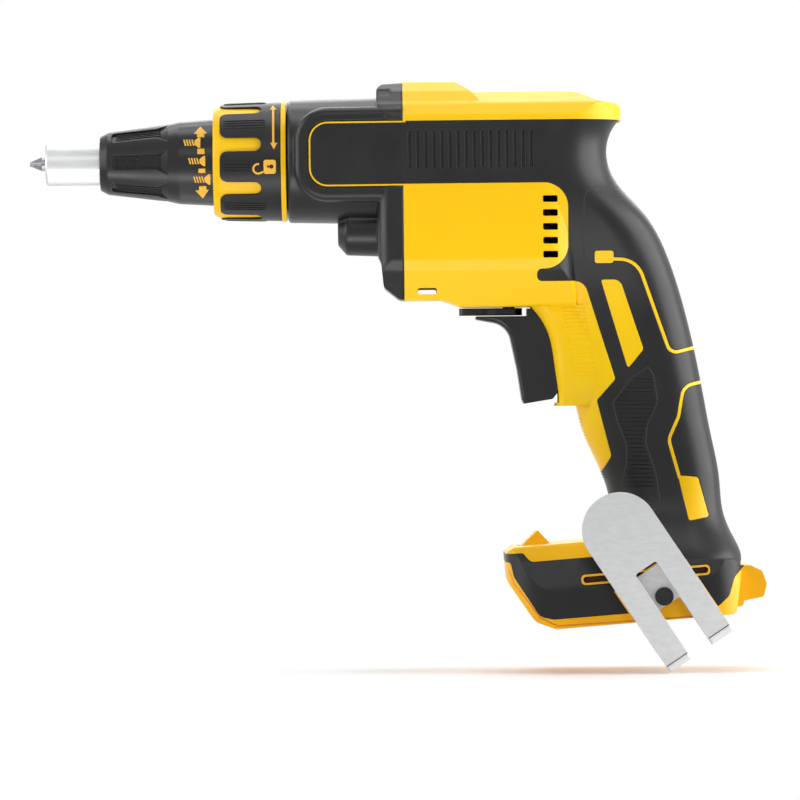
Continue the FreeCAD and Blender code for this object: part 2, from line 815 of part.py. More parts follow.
def hook_bore(name, radius, start, end):
    """Round hole square to the foot's side, on the belt hook's screw axis; depths from the left face."""
    bore = doc.addObject("Part::Cylinder", name)
    bore.Placement = HOOK * Placement(Vector(0, 0, number(start)), Rotation())
    bind(bore, {"Radius": radius, "Height": f"({end}) - ({start})"})
    return bore


insert_hole = hook_bore("insert_hole", "insert_radius", "-insert_length - 0.3", 5)


def screw_holes(name, radius, near, far):
    holes = []
    for i, (x, z) in enumerate(HOUSING_SCREWS):
        hole = doc.addObject("Part::Cylinder", f"{name}_{i}")
        hole.Placement = Placement(Vector(), Rotation(Vector(1, 0, 0), -90))
        bind(hole, {"Radius": radius, "Height": f"({far}) - ({near})", "Placement.Base.x": behind(x),
                    "Placement.Base.y": near, "Placement.Base.z": z})
        holes.append(hole)
    return holes


pilot_holes = screw_holes("pilot_hole", "housing_screw_radius", "-screw_bite", "screw_bite")
head_holes = screw_holes("head_hole", "housing_screw_radius * 2", "screw_head_depth", "foot_half + 5")

case_holes = [rod(f"case_hole_{i}", behind(-1), behind("case_screw_bite"), "case_screw_radius", z, y)
              for i, (y, z) in enumerate(CASE_SCREWS)]

lens_hole = prism("lens_hole", "x", box_corners(
    "-lens_half", "-lens_half", "lens_half", "lens_half", 1), -3, 3, LAMP)

# The left half is made first, and the right half is its mirror image with its own screw holes
left_space = doc.addObject("Part::Box", "left_space")
left_space.Placement = Placement(Vector(0, -100, -250), Rotation())
bind(left_space, {"Length": behind(200), "Width": 100, "Height": 350})


def mirror_of(name, half):
    image = doc.addObject("Part::Mirroring", name)
    image.Source = half
    image.Normal = Vector(0, 1, 0)
    return image


left_outer = common("left_outer", outer, left_space)
left_inner = common("left_inner", inner, left_space)
cover = cut("cover", common("left_zone", zone, left_space), left_inner)
trigger_room = fuse("trigger_room", [trigger_opening, lever_room, lever_pin_hole])
battery_room = fuse("battery_room", [channel, channel_mouth])
openings = [trigger_room, battery_room, strap_slot, lens_hole, side_slot, insert_hole] + vents
bare_shell = cut("bare_shell", left_outer, cover)
left_shell = cut("hollow_shell", bare_shell, common("left_hollow", hollow, left_space))
left_shell = cut("left_shell", left_shell, *openings, *case_holes, *pilot_holes)
right_shell = mirror_of("right_shell", left_shell)

# Upright grooves in the band of the overmould
band_grooves = []
for i in range(int(number("groove_count"))):
    place = f"groove_start + {i} * groove_pitch"
    band_grooves.append(prism(f"groove_{i}", "y", box_corners(
        behind(place), -4, behind(f"{place} + groove_pitch * 0.35"), 10),
        "-body_half - 2", "-body_half + groove_depth"))
left_cover = cut("left_cover", common("covered_zone", left_outer, cover), *band_grooves)
right_cover = mirror_of("right_cover", left_cover)

piece("left_housing", left_shell)
piece("right_housing", cut("right_housing_solid", right_shell, *head_holes))
piece("left_overmould", left_cover)
piece("right_overmould", cut("right_overmould_solid", right_cover, *head_holes))


# Bit, magnetic holder and nosepiece
def hexagon(across):
    """Corners of a hexagon, given the width across its flats."""
    reach = f"({across}) / sqrt(3)"
    return [(f"{reach} * cos({60 * k})", f"{reach} * sin({60 * k})") for k in range(6)]


def around(count, start=0.0, height="0"):
    """Frames turned evenly about an axis along X."""
    centre = Vector(0, 0, number(height))
    return [Placement(centre, Rotation(UNIT["x"], start + 360 * k / count)) for k in range(int(count))]


def ring(name, start, end, inner, outer_radius, height="0"):
    return turned(name, [(start, inner), (start, outer_radius), (end, outer_radius), (end, inner)], height)


wing_gaps = [prism(f"wing_gap_{k}", "x", box_corners(0.5, 0.5, 4, 4), -1, "bit_neck_length / 2", frame)
             for k, frame in enumerate(around(4))]
bit_blank = fuse("bit_blank", [
    prism("bit_shank", "x", hexagon("bit_across"), "bit_neck_length", "bit_length"),
    turned("bit_neck", [
        (0, 0),
        (0, 0.8),
        ("bit_neck_length / 2", "bit_neck_radius"),
        ("bit_neck_length + 0.5", "bit_neck_radius"),
        ("bit_neck_length + 0.5", 0)])])
piece("bit", cut("bit_solid", bit_blank, *wing_gaps))

HOLDER_END = "(bit_exposed + holder_length)"
holder_blank = fuse("holder_blank", [
    rod("holder_sleeve", "bit_exposed", HOLDER_END, "holder_radius"),
    prism("holder_shank_bar", "x", hexagon("bit_across"), f"{HOLDER_END} - 0.5",
          f"{HOLDER_END} + holder_shank")])
holder_socket = prism("holder_socket", "x", hexagon("bit_across + 2 * seat_fit"), "bit_exposed - 1",
                      "bit_length + magnet_length")
piece("bit_holder", cut("holder_solid", holder_blank, holder_socket))
piece("bit_magnet", rod("magnet", "bit_length", "bit_length + magnet_length", "bit_across / 2 - seat_fit"))

NOSE_END = f"({X_CONE} + nose_inside)"
piece("nosepiece", turned("nosepiece_turned", [
    ("bit_reach", "nose_bore"),
    ("bit_reach", "nose_radius - 0.8"),
    ("bit_reach + 0.8", "nose_radius"),
    (f"{NOSE_END} - nose_thread_length", "nose_radius"),
    (f"{NOSE_END} - nose_thread_length", "nose_thread_radius"),
    (NOSE_END, "nose_thread_radius"),
    (NOSE_END, "nose_bore")]))

# Depth cone with fluted grip
cone_blank = turned("cone_blank", [
    (X_CONE, "nose_radius + run_fit"),
    (X_CONE, "cone_lip_radius", 1),
    (f"{X_CONE} + 3", "cone_front_radius", 2),
    (f"{X_CONE} + cone_taper", "cone_waist_radius", 6),
    (f"{X_CONE} + cone_taper + 4", "cone_waist_radius + 0.9", 6),
    (X_COLLAR, "cone_end_radius"),
    (f"{X_COLLAR} + cone_skirt", "cone_end_radius"),
    (f"{X_COLLAR} + cone_skirt", "snout_radius + run_fit"),
    (f"{NOSE_END} + nose_travel + 0.8", "snout_radius + run_fit"),
    (f"{NOSE_END} + nose_travel + 0.8", "nose_thread_radius + run_fit"),
    (f"{X_CONE} + 4", "nose_thread_radius + run_fit"),
    (f"{X_CONE} + 4", "nose_radius + run_fit")])
flute_floor = turned("flute_floor", [
    (f"{X_CONE} + 2", 0),
    (f"{X_CONE} + 2", "cone_front_radius - flute_depth"),
    (f"{X_CONE} + cone_taper - 3", "cone_waist_radius - flute_depth - 0.35"),
    (f"{X_CONE} + cone_taper + 3", "cone_waist_radius + 1.2"),
    (f"{X_CONE} + cone_taper + 3", 0)])
flutes = [prism(f"flute_{k}", "y", [
    (f"{X_CONE} + 4.6", "-flute_width / 2", 1.2),
    (f"{X_CONE} + cone_taper - 4", "-flute_width / 2", 4),
    (f"{X_CONE} + cone_taper + 2", "-flute_width / 2 - 3.4"),
    (f"{X_CONE} + cone_taper + 2", "flute_width / 2 + 3.4"),
    (f"{X_CONE} + cone_taper - 4", "flute_width / 2", 4),
    (f"{X_CONE} + 4.6", "flute_width / 2", 1.2)],
    "cone_front_radius - 2.5", "cone_end_radius + 3", frame)
    for k, frame in enumerate(around(number("flute_count"), 180))]
flute_cuts = cut("flute_cuts", fuse("flute_bars", flutes), flute_floor)
piece("depth_cone", cut("depth_cone_solid", cone_blank, flute_cuts))

# Lock collar and its fingered rubber grip
COLLAR_BASE = "(collar_radius - finger_height)"
GRIP_START = f"({X_COLLAR} + collar_ring)"
GRIP_END = f"({X_COLLAR} + collar_length - collar_rear_ring)"
piece("lock_collar", turned("collar_turned", [
    (X_COLLAR, "cone_end_radius + face_gap"),
    (X_COLLAR, "collar_nose_radius", 1.2),
    (GRIP_START, COLLAR_BASE),
    (GRIP_END, COLLAR_BASE),
    (GRIP_END, "collar_radius + 0.3"),
    (f"{X_COLLAR} + collar_length", "collar_radius + 0.3", 0.4),
    (f"{X_COLLAR} + collar_length", "collar_seat + run_fit"),
    (f"{X_COLLAR} + cone_skirt + 1", "collar_seat + run_fit"),
    (f"{X_COLLAR} + cone_skirt + 1", "cone_end_radius + face_gap")]))
grip_tube = turned("grip_tube", [
    (GRIP_START, COLLAR_BASE),
    (GRIP_START, "collar_radius - 0.6", 0.4),
    (f"{GRIP_END} - 2", "collar_radius"),
    (GRIP_END, "collar_radius"),
    (GRIP_END, COLLAR_BASE)])
SLOT_HALF = "(collar_radius * sin(180 / finger_count - finger_angle / 2))"
SLOT_END = f"({GRIP_END} - collar_band)"
finger_slots = [prism(f"finger_slot_{k}", "y", [
    (f"{GRIP_START} - 1", f"-{SLOT_HALF} - finger_round - 1"),
    (GRIP_START, f"-{SLOT_HALF} - finger_round - 1"),
    (GRIP_START, f"-{SLOT_HALF}", "finger_round"),
    (SLOT_END, f"-{SLOT_HALF}", f"{SLOT_HALF} * 0.9"),
    (SLOT_END, SLOT_HALF, f"{SLOT_HALF} * 0.9"),
    (GRIP_START, SLOT_HALF, "finger_round"),
    (GRIP_START, f"{SLOT_HALF} + finger_round + 1"),
    (f"{GRIP_START} - 1", f"{SLOT_HALF} + finger_round + 1")],
    "collar_radius - 4", "collar_radius + 3", frame)
    for k, frame in enumerate(around(number("finger_count"), 186.5 + 180 / number("finger_count")))]
piece("collar_grip", cut("collar_grip_solid", grip_tube, fuse("finger_slots", finger_slots)))
piece("detent_spring", ring("detent_ring", f"{X_COLLAR} + cone_skirt + 2", f"{X_COLLAR} + cone_skirt + 3.2",
                            "snout_radius", "collar_seat - face_gap"))

# Gear case: barrel, snout, flange, saddles round the housing's tongues, and pinion nose
GEAR_TIP = "(gear_module * (gear_teeth + 2) / 2)"
PINION_TIP = "(gear_module * (pinion_teeth + 2) / 2)"


def cheek_outline(margin):
    """Side view of a tongue, let out by a margin."""
    return [
        (behind(1), f"band_top + {margin}"),
        (behind(f"-band_reach - {margin}"), f"band_top + {margin}", f"band_corner + {margin}"),
        (behind(f"-band_reach - {margin}"), f"band_bottom - {margin}", f"band_corner + {margin}"),
        (behind(1), f"band_bottom - {margin}"),
    ]


def saddle(side, sign):
    plan = prism(f"{side}_saddle_plan", "z", [
        (behind("-band_reach - saddle_margin - 1"), f"{sign} * 12"),
        (X_JOINT, f"{sign} * 12"),
        (X_JOINT, f"{sign} * (body_half - 0.6)"),
        (behind("-band_reach - saddle_margin - 1"), f"{sign} * (tongue_half - 0.6)"),
    ], "band_bottom - saddle_margin - 1", "band_top + saddle_margin + 1")
    near, far = (12, 40) if sign > 0 else (-40, -12)
    outline = prism(f"{side}_saddle_side", "y", cheek_outline("saddle_margin"), near, far)
    block = common(f"{side}_saddle_block", plan, outline)
    edge_half = number("tongue_half - 0.7")
    joint = number(X_JOINT)

    def rim_radii(edge):
        outside = all(abs(end.y) > edge_half for end in ends_of(edge))
        at_joint = all(abs(end.x - joint) < 0.1 for end in ends_of(edge))
        return [number("saddle_round")] * 2 if outside and not at_joint else None
    return rounded(f"{side}_saddle", block, rim_radii)


FLANGE_FRONT = behind("-flange_length - 3.8")
flange_block = fuse("flange_block", [
    body_section("flange_section", "0", FLANGE_FRONT, X_JOINT),
    hump_section("flange_hump", "0", FLANGE_FRONT, X_JOINT)])
flange_side = slab("flange_side", "y", "body_half + 5", [
    (X_JOINT, "cap_crest - 0.5"),
    (FLANGE_FRONT, "cap_crest - 1.1", 3),
    (FLANGE_FRONT, -36, 2),
    (behind("-flange_length - 2.6"), -38.5, 2),
    (behind("-flange_length - 1.7"), -47.8, 3),
    (behind(-2), "body_bottom + 0.2", 3),
    (X_JOINT, "body_bottom")])
flange_plan = prism("flange_plan", "z", [
    (FLANGE_FRONT, "-body_half", 6),
    (behind(1), "-body_half"),
    (behind(1), "body_half"),
    (FLANGE_FRONT, "body_half", 6)], "keel_bottom - 1", "cap_crest + 1")
flange = common("flange", common("flange_trim", flange_block, flange_side), flange_plan)
case_blank = fuse("case_blank", [
    turned("case_barrel", [
        (X_CASE, 10),
        (X_CASE, "case_radius - 0.6", 1.5),
        (X_JOINT, "case_radius + 0.4"),
        (X_JOINT, 10)]),
    rod("case_snout", f"{X_CASE} - snout_length", f"{X_CASE} + 5", "snout_radius"),
    rod("collar_boss", f"{X_COLLAR} + cone_skirt + 3.2", f"{X_CASE} + 1", "collar_seat"),
    turned("pinion_nose", [
        (behind("-pinion_nose_length"), 0),
        (behind("-pinion_nose_length"), "pinion_nose_radius - 4.5", 1),
        (behind("-pinion_nose_length + 3.2"), "pinion_nose_radius - 0.7", 1.5),
        (behind("-flange_length"), "pinion_nose_radius"),
        (behind("-flange_length"), 0)], Z_MOTOR),
    prism("pinion_fill", "x", box_corners("-pinion_nose_radius + 1", Z_MOTOR, "pinion_nose_radius - 1", -15),
          behind("-pinion_nose_length + 4"), behind("-flange_length")),
    flange, saddle("left", -1), saddle("right", 1)])
case_room = fuse("case_room", [
    turned("spindle_room", [
        (f"{X_CASE} - snout_length - 1", 0),
        (f"{X_CASE} - snout_length - 1", "snout_bore"),
        (f"{X_CASE} + 8", "snout_bore"),
        (f"{X_CASE} + 8", "flange_radius + 1.2"),
        (f"{X_GEAR} - 1", "flange_radius + 1.2"),
        (f"{X_GEAR} - 1", f"{GEAR_TIP} + 0.9"),
        (behind(1), f"{GEAR_TIP} + 0.9"),
        (behind(1), 0)]),
    rod("pinion_room", f"{X_GEAR} - 1.6", behind(1), f"{PINION_TIP} + 0.7", Z_MOTOR),
    rod("pinion_bush_seat", f"{X_GEAR} - 8", f"{X_GEAR} - 1", "shaft_radius + 2", Z_MOTOR)])
pockets = [
    prism("left_pocket", "y", cheek_outline("tongue_gap"), "-body_half - 5", "-tongue_seat + tongue_gap"),
    prism("right_pocket", "y", cheek_outline("tongue_gap"), "tongue_seat - tongue_gap", "body_half + 5")]
HEAD_SEAT = behind("-flange_length + 1.5")
screw_passages = [fuse(f"screw_passage_{i}", [
    rod(f"screw_clearance_{i}", behind("-flange_length - 4"), behind(1), "case_screw_radius + 0.2", z, y),
    rod(f"head_recess_{i}", behind("-flange_length - 4"), HEAD_SEAT, "case_screw_radius * 1.7", z, y)])
    for i, (y, z) in enumerate(CASE_SCREWS)]
case_shell = cut("case_shell", case_blank, case_room)
piece("gear_case", cut("gear_case_solid", case_shell, *pockets, *screw_passages))
piece("gear_case_screws", group("case_screw_set", [fuse(f"case_screw_{i}", [
    rod(f"case_screw_head_{i}", f"{HEAD_SEAT} - 2.4", HEAD_SEAT, "case_screw_radius * 1.6", z, y),
    rod(f"case_screw_shank_{i}", f"{HEAD_SEAT} - 0.5", behind("case_screw_bite"), "case_screw_radius", z, y)])
    for i, (y, z) in enumerate(CASE_SCREWS)]))
FRONT_BUSH = f"({X_CASE} - snout_length + 3)"
piece("front_bush", ring("front_bush_ring", FRONT_BUSH, f"{FRONT_BUSH} + 12",
                         "spindle_nose_radius + run_fit", "snout_bore"))

# Spindle, clutch and gear train
X_SPINDLE = f"({HOLDER_END} + face_gap)"
X_CLUTCH = f"({X_GEAR} - 2 * jaw_height - jaw_gap)"


def jaws(name, start, end, turn):
    """Three clutch dogs."""
    outline = box_corners("flange_radius - 5", -3.5, "flange_radius - 0.7", 3.5)
    return [prism(f"{name}_{k}", "x", outline, start, end, frame)
            for k, frame in enumerate(around(3, turn))]


spindle_jaws = jaws("spindle_jaw", f"{X_CLUTCH} - 1", f"{X_CLUTCH} + jaw_height", 90)
spindle_blank = fuse("spindle_blank", [turned("spindle_turned", [
    (X_SPINDLE, 0),
    (X_SPINDLE, "spindle_nose_radius", 0.5),
    (f"{X_SPINDLE} + 23", "spindle_nose_radius"),
    (f"{X_SPINDLE} + 23", "spindle_radius"),
    (f"{X_CLUTCH} - 4", "spindle_radius"),
    (f"{X_CLUTCH} - 4", "flange_radius"),
    (X_CLUTCH, "flange_radius"),
    (X_CLUTCH, "spindle_radius"),
    (behind("plate_thickness - 2.2"), "spindle_radius"),
    (behind("plate_thickness - 2.2"), 0)])] + spindle_jaws)
spindle_socket = prism("spindle_socket", "x", hexagon("bit_across + 2 * seat_fit"), f"{X_SPINDLE} - 1",
                       f"{HOLDER_END} + holder_shank")
piece("spindle", cut("spindle_solid", spindle_blank, spindle_socket))


def tooth(teeth):
    """Outline of one involute tooth that points along +v."""
    module = number("gear_module")
    lean = math.radians(number("pressure_angle"))
    pitch = module * teeth / 2
    base = pitch * math.cos(lean)
    root = pitch - 1.25 * module
    start = max(base, root)
    half = math.pi / (2 * teeth) - number("backlash") / (4 * pitch)
    steps = 4
    flank = []
    for step in range(steps + 1):
        radius = start + (pitch + module - start) * step / steps
        slope = math.acos(base / radius)
        angle = half + (math.tan(lean) - lean) - (math.tan(slope) - slope)
        flank.append((radius * math.sin(angle), radius * math.cos(angle)))
    foot_width = flank[0][0]
    right = [(foot_width, root - 0.3 * module)] + flank
    return right + [(-u, v) for u, v in reversed(right)]


def toothed(label, teeth, start, end, turn, height="0"):
    """Spur gear blank along X: a root disc and one tooth, repeated round it."""
    count = int(number(teeth))
    body = doc.addObject("PartDesign::Body", label)
    origin = {feature.Role: feature for feature in body.Origin.OriginFeatures}
    steps = []
    for name, wide in (("disc", False), ("tooth", True)):
        sketch = body.newObject("Sketcher::SketchObject", f"{label}_{name}_outline")
        sketch.AttachmentSupport = (origin["YZ_Plane"], [""])
        sketch.MapMode = "FlatFace"
        if wide:
            draw(sketch, tooth(count))
        else:
            sketch.addGeometry(Part.Circle(Vector(), UNIT["z"], 1))
            sketch.addConstraint(Sketcher.Constraint("Coincident", 0, 3, -1, 1))
            rule = sketch.addConstraint(Sketcher.Constraint("Radius", 0, 1))
            sketch.setExpression(f"Constraints[{rule}]", formula(f"gear_module * ({teeth} - 2.5) / 2"))
        pad = body.newObject("PartDesign::Pad", f"{label}_{name}")
        pad.Profile = sketch
        bind(pad, {"Length": f"({end}) - ({start})"})
        steps.append(pad)
    pattern = body.newObject("PartDesign::PolarPattern", f"{label}_teeth")
    pattern.Originals = [steps[1]]
    pattern.Axis = (origin["X_Axis"], [""])
    pattern.Angle = 360
    bind(pattern, {"Occurrences": teeth})
    body.Tip = pattern
    body.Placement = Placement(Vector(), Rotation(UNIT["x"], turn))
    bind(body, {"Placement.Base.x": start, "Placement.Base.z": height})
    return body


gear_blank = fuse("gear_blank", [
    toothed("gear_rim", "gear_teeth", X_GEAR, f"{X_GEAR} + gear_width", 0),
    rod("gear_hub", f"{X_GEAR} + gear_width - 1", behind("-face_gap"), "spindle_radius + 3")]
    + jaws("gear_jaw", f"{X_GEAR} - jaw_height", f"{X_GEAR} + 1", 150))
SPRING_INSIDE = "(spindle_radius + face_gap)"
gear_bore = fuse("gear_bore", [
    rod("gear_spindle_hole", f"{X_GEAR} - 1", behind(1), "spindle_radius + run_fit"),
    rod("spring_pocket", f"{X_GEAR} - 1", f"{X_GEAR} + spring_pocket",
        f"{SPRING_INSIDE} + spring_rise + 2 * spring_sheet")])
piece("drive_gear", cut("drive_gear_solid", gear_blank, gear_bore))

SPRING_START = f"({X_CLUTCH} + 0.1)"
SPRING_LENGTH = f"({X_GEAR} + spring_pocket - {X_CLUTCH} - 0.2)"
spring_folds = int(number("spring_discs"))
inner_edge = []
for i in range(spring_folds + 1):
    inner_edge.append((f"{SPRING_START} + {SPRING_LENGTH} * {i} / spring_discs",
                       f"{SPRING_INSIDE} + spring_rise * {i % 2}"))
outer_edge = [(x, f"{radius} + spring_sheet") for x, radius in reversed(inner_edge)]
piece("clutch_spring", turned("disc_springs", inner_edge + outer_edge))

PLATE_INSET = f"({hollow_inset} + 0.2)"
plate_side = slab("plate_side", "y", "body_half", box_corners(
    X_JOINT, f"body_bottom + {PLATE_INSET}", behind("plate_thickness"), "cap_crest"))
plate_section = body_section("plate_section", PLATE_INSET, X_JOINT, behind("plate_thickness"))
plate_blank = fuse("plate_blank", [
    common("plate_body", plate_section, plate_side),
    rod("bush_boss", X_JOINT, behind("plate_thickness + 4.2"), "spindle_radius + 5")])
PLATE_REAR = behind("plate_thickness + 1")
column_notches = [rod(f"column_notch_{i}", behind(-1), PLATE_REAR, "case_screw_radius + 2.2", z, y)
                  for i, (y, z) in enumerate(CASE_SCREWS)]
BUSH_REAR = behind("plate_thickness + 3")
bush_seat = rod("rear_bush_seat", behind(-1), BUSH_REAR, "spindle_radius + 2.5")
bearing_seat = rod("front_bearing_seat", behind(-1), PLATE_REAR, "bearing_radius", Z_MOTOR)
piece("gear_plate", cut("gear_plate_solid", plate_blank, *column_notches, bush_seat, bearing_seat))
piece("rear_bush", ring("rear_bush_ring", behind("face_gap"), BUSH_REAR,
                        "spindle_radius + run_fit", "spindle_radius + 2.5"))

# Motor
STATOR_FRONT = behind("stator_setback")
STATOR_REAR = behind("stator_setback + stator_length")
FAN_FRONT = behind("fan_setback")
FAN_REAR = behind("fan_setback + fan_width")
REAR_BEARING = behind("fan_setback + fan_width + 1")
SHAFT_END = f"{REAR_BEARING} + bearing_width + 0.5"
piece("motor_shaft", rod("shaft", f"{X_GEAR} - 7.5", SHAFT_END, "shaft_radius", Z_MOTOR))
pinion_phase = 180 / number("pinion_teeth")
pinion_rim = toothed("pinion_rim", "pinion_teeth", f"{X_GEAR} - 0.5", f"{X_GEAR} + gear_width + 0.5",
                     pinion_phase, Z_MOTOR)
pinion_bore = rod("pinion_bore", f"{X_GEAR} - 2", behind(1), "shaft_radius", Z_MOTOR)
piece("pinion", cut("pinion_solid", pinion_rim, pinion_bore))
piece("pinion_bush", ring("pinion_bush_ring", f"{X_GEAR} - 8", f"{X_GEAR} - 2",
                          "shaft_radius + run_fit", "shaft_radius + 2", Z_MOTOR))


def bearing(name, start, outside):
    """Two races with a running clearance between them."""
    split = f"(shaft_radius + {outside}) / 2"
    end = f"{start} + bearing_width"
    outer_bore = f"{split} + run_fit"
    piece(f"{name}_bearing_outer", ring(f"{name}_outer_race", start, end, outer_bore, outside, Z_MOTOR))
    piece(f"{name}_bearing_inner", ring(f"{name}_inner_race", start, end, "shaft_radius", split, Z_MOTOR))


bearing("front", X_JOINT, "bearing_radius")
bearing("rear", REAR_BEARING, "(bearing_radius - 1.5)")
piece("rotor_core", ring("rotor_ring", STATOR_FRONT, STATOR_REAR, "shaft_radius",
                         "stator_bore - rotor_gap", Z_MOTOR))

STATOR_TEETH = 6
windows = []
coils = []
for k, frame in enumerate(around(STATOR_TEETH, 30, Z_MOTOR)):
    for side in (-1, 1):
        windows.append(prism(f"window_{k}_{side + 1}", "y", box_corners(
            f"{STATOR_FRONT} - 1", f"{side} * {3.9 if side > 0 else 7.5}", f"{STATOR_REAR} + 1",
            f"{side} * {7.5 if side > 0 else 3.9}"), "stator_bore + 1.5", "stator_bore + 6", frame))
    loop = prism(f"coil_block_{k}", "y", box_corners(
        f"{STATOR_FRONT} - coil_overhang", -7.2, f"{STATOR_REAR} + coil_overhang", 7.2, 2),
        "stator_bore + 2.2", "stator_bore + 4.8", frame)
    core = prism(f"coil_core_{k}", "y", box_corners(
        f"{STATOR_FRONT} - 0.6", -4.2, f"{STATOR_REAR} + 0.6", 4.2),
        "stator_bore + 1", "stator_bore + 6", frame)
    coils.append(cut(f"coil_{k}", loop, core))
stator_ring = ring("stator_ring", STATOR_FRONT, STATOR_REAR, "stator_bore", "stator_radius", Z_MOTOR)
piece("motor_stator", cut("stator_solid", stator_ring, *windows))
piece("stator_windings", group("winding_set", coils))
BOARD_FRONT = f"{STATOR_REAR} + coil_overhang"
piece("sensor_board", ring("sensor_ring", BOARD_FRONT, f"{BOARD_FRONT} + 1.6", "stator_bore - 3",
                           "stator_radius - 2", Z_MOTOR))

fan_blades = [prism(f"fan_blade_{k}", "y", [
    (f"{FAN_FRONT} + 1", -0.6),
    (FAN_REAR, 2.4),
    (FAN_REAR, 3.6),
    (f"{FAN_FRONT} + 1", 0.6)], 6.5, "fan_radius", frame)
    for k, frame in enumerate(around(number("fan_blades"), 0, Z_MOTOR))]
piece("fan", fuse("fan_solid", [
    ring("fan_hub", FAN_FRONT, FAN_REAR, "shaft_radius", 7.5, Z_MOTOR),
    ring("fan_disc", FAN_FRONT, f"{FAN_FRONT} + 1.4", "shaft_radius", "fan_radius", Z_MOTOR)] + fan_blades))

# Trigger, switch and reversing lever
STEM_HEIGHT = -74
TRIGGER_CREST = "(keel_bottom - 0.7)"
trigger_blade = slab("trigger_blade", "y", "trigger_half", [
    (behind(26.5), "trigger_top", 0.4),
    (behind(26.5), "trigger_top - 1.1", 0.4),
    (behind(38.3), "trigger_top - 3.4", 8),
    (behind(41.8), -79, 20),
    (behind(43.4), -90),
    (behind(44.2), -91.7),
    (behind(55), -90, 1),
    (behind("trigger_rear"), -87, 2),
    (behind("trigger_rear"), TRIGGER_CREST),
    (behind("trigger_shoulder"), TRIGGER_CREST),
    (behind("trigger_shoulder"), "trigger_top")])


def finger_radii(edge):
    """Rounding of a side edge that the finger meets, tapered off towards the nib."""
    first, last = ends_of(edge)
    side = number("trigger_half")
    lengthwise = abs(first.y - last.y) < 0.01 and abs(abs(first.y) - side) < 0.01
    highest = max(first.z, last.z)
    rearmost = max(first.x, last.x)
    full = number("trigger_round")
    fine = number("nib_round")
    if lengthwise and highest < number("trigger_top - 2.1") and rearmost < number(behind(45)):
        return full, full
    under_nib = highest < number("trigger_top - 1.1") and rearmost < number(behind(34))
    if lengthwise and under_nib and edge.Length > 3:
        return (fine, full) if first.x < last.x else (full, fine)
    return None


SWITCH_FRONT = behind("trigger_rear + trigger_travel + 1.2")
piece("trigger", fuse("trigger_solid", [
    rounded("trigger_shoe", trigger_blade, finger_radii),
    rod("trigger_stem", behind("trigger_rear - 1"), f"{SWITCH_FRONT} + 1.5", "stem_radius", STEM_HEIGHT)]))
COLUMN_EDGE = "housing_screw_radius - 2.2"
switch_block = slab("switch_block", "y", "trigger_housing_half - 6.2", box_corners(
    SWITCH_FRONT, "chin_height + 5.6", behind(f"96 - {COLUMN_EDGE}"), "trigger_top - 1.1"))
stem_hole = rod("stem_hole", f"{SWITCH_FRONT} - 1", f"{SWITCH_FRONT} + trigger_travel + 3",
                "stem_radius + 0.3", STEM_HEIGHT)
piece("switch_body", cut("switch_solid", switch_block, stem_hole))

LEVER_TOP = "(keel_bottom - face_gap)"
lever_plate = prism("lever_plate", "z", [
    (behind("lever_pivot - 18.6"), -4.4, 2.5),
    (behind("lever_pivot - 12"), -4.4, 2),
    (behind("lever_pivot - 9"), -3, 2),
    (behind("lever_pivot - 5"), -5),
    (behind("lever_pivot + 5"), -5, 4),
    (behind("lever_pivot + 5"), 5, 4),
    (behind("lever_pivot - 5"), 5),
    (behind("lever_pivot - 9"), 3, 2),
    (behind("lever_pivot - 12"), 4.4, 2),
    (behind("lever_pivot - 18.6"), 4.4, 2.5)], f"{LEVER_TOP} - lever_height", LEVER_TOP)
lever_pin = pin("lever_pin", "lever_pivot", f"{LEVER_TOP} - 1", "keel_bottom + 2.6", "lever_pin_radius")
piece("reversing_lever", fuse("lever_solid", [lever_plate, lever_pin]))

# Electronics of the grip and foot
piece("control_module", slab("control_block", "y", 8.5, box_corners(
    behind(80.5), -122, behind(f"92 - {COLUMN_EDGE}"), -96)))
piece("terminal_block", slab("terminal_body", "y", 15, box_corners(24, 8, 52, "channel_height"), FOOT))
contact_blades = []
for k in range(4):
    side = 12 - 8 * k
    contact_blades.append(prism(f"contact_{k}", "y", box_corners(28, 4.6, 46, 8),
                                f"{side} - 0.5", f"{side} + 0.5", FOOT))
piece("battery_contacts", group("contact_set", contact_blades))
LENS_EDGE = "(lens_half - seat_fit)"
piece("lamp_lens", prism("lens_block", "x", box_corners(
    f"-{LENS_EDGE}", f"-{LENS_EDGE}", LENS_EDGE, LENS_EDGE, 1), 0, 1.8, LAMP))
piece("lamp_board", prism("lamp_plate", "x", box_corners(
    "-lens_half + 0.5", "-lens_half + 0.5", "lens_half - 0.5", "lens_half - 0.5"), 1.8, 3, LAMP))

# Belt hook: a slotted strip folded at its two prongs, with its screw and the two inserts
HOOK_HEIGHT = "(hook_gap + 2 * hook_sheet)"
hook_strip = slab("hook_strip", "y", "hook_width / 2", [
    ("-hook_screw_up", "0"),
    ("hook_reach", "0", "hook_bend"),
    ("hook_reach", HOOK_HEIGHT, "hook_bend"),
    ("hook_reach - hook_length", HOOK_HEIGHT),
    ("hook_reach - hook_length", f"{HOOK_HEIGHT} - hook_sheet"),
    ("hook_reach - hook_sheet", f"{HOOK_HEIGHT} - hook_sheet", "hook_bend - hook_sheet"),
    ("hook_reach - hook_sheet", "hook_sheet", "hook_bend - hook_sheet"),
    ("-hook_screw_up", "hook_sheet")], HOOK)
hook_plan = prism("hook_plan", "z", [
    ("hook_reach - hook_length", "-hook_width / 2", "hook_width / 2 - 0.2"),
    ("hook_reach + 1", "-hook_width / 2"),
    ("hook_reach + 1", "hook_width / 2"),
    ("hook_reach - hook_length", "hook_width / 2", "hook_width / 2 - 0.2")], -1, f"{HOOK_HEIGHT} + 1", HOOK)
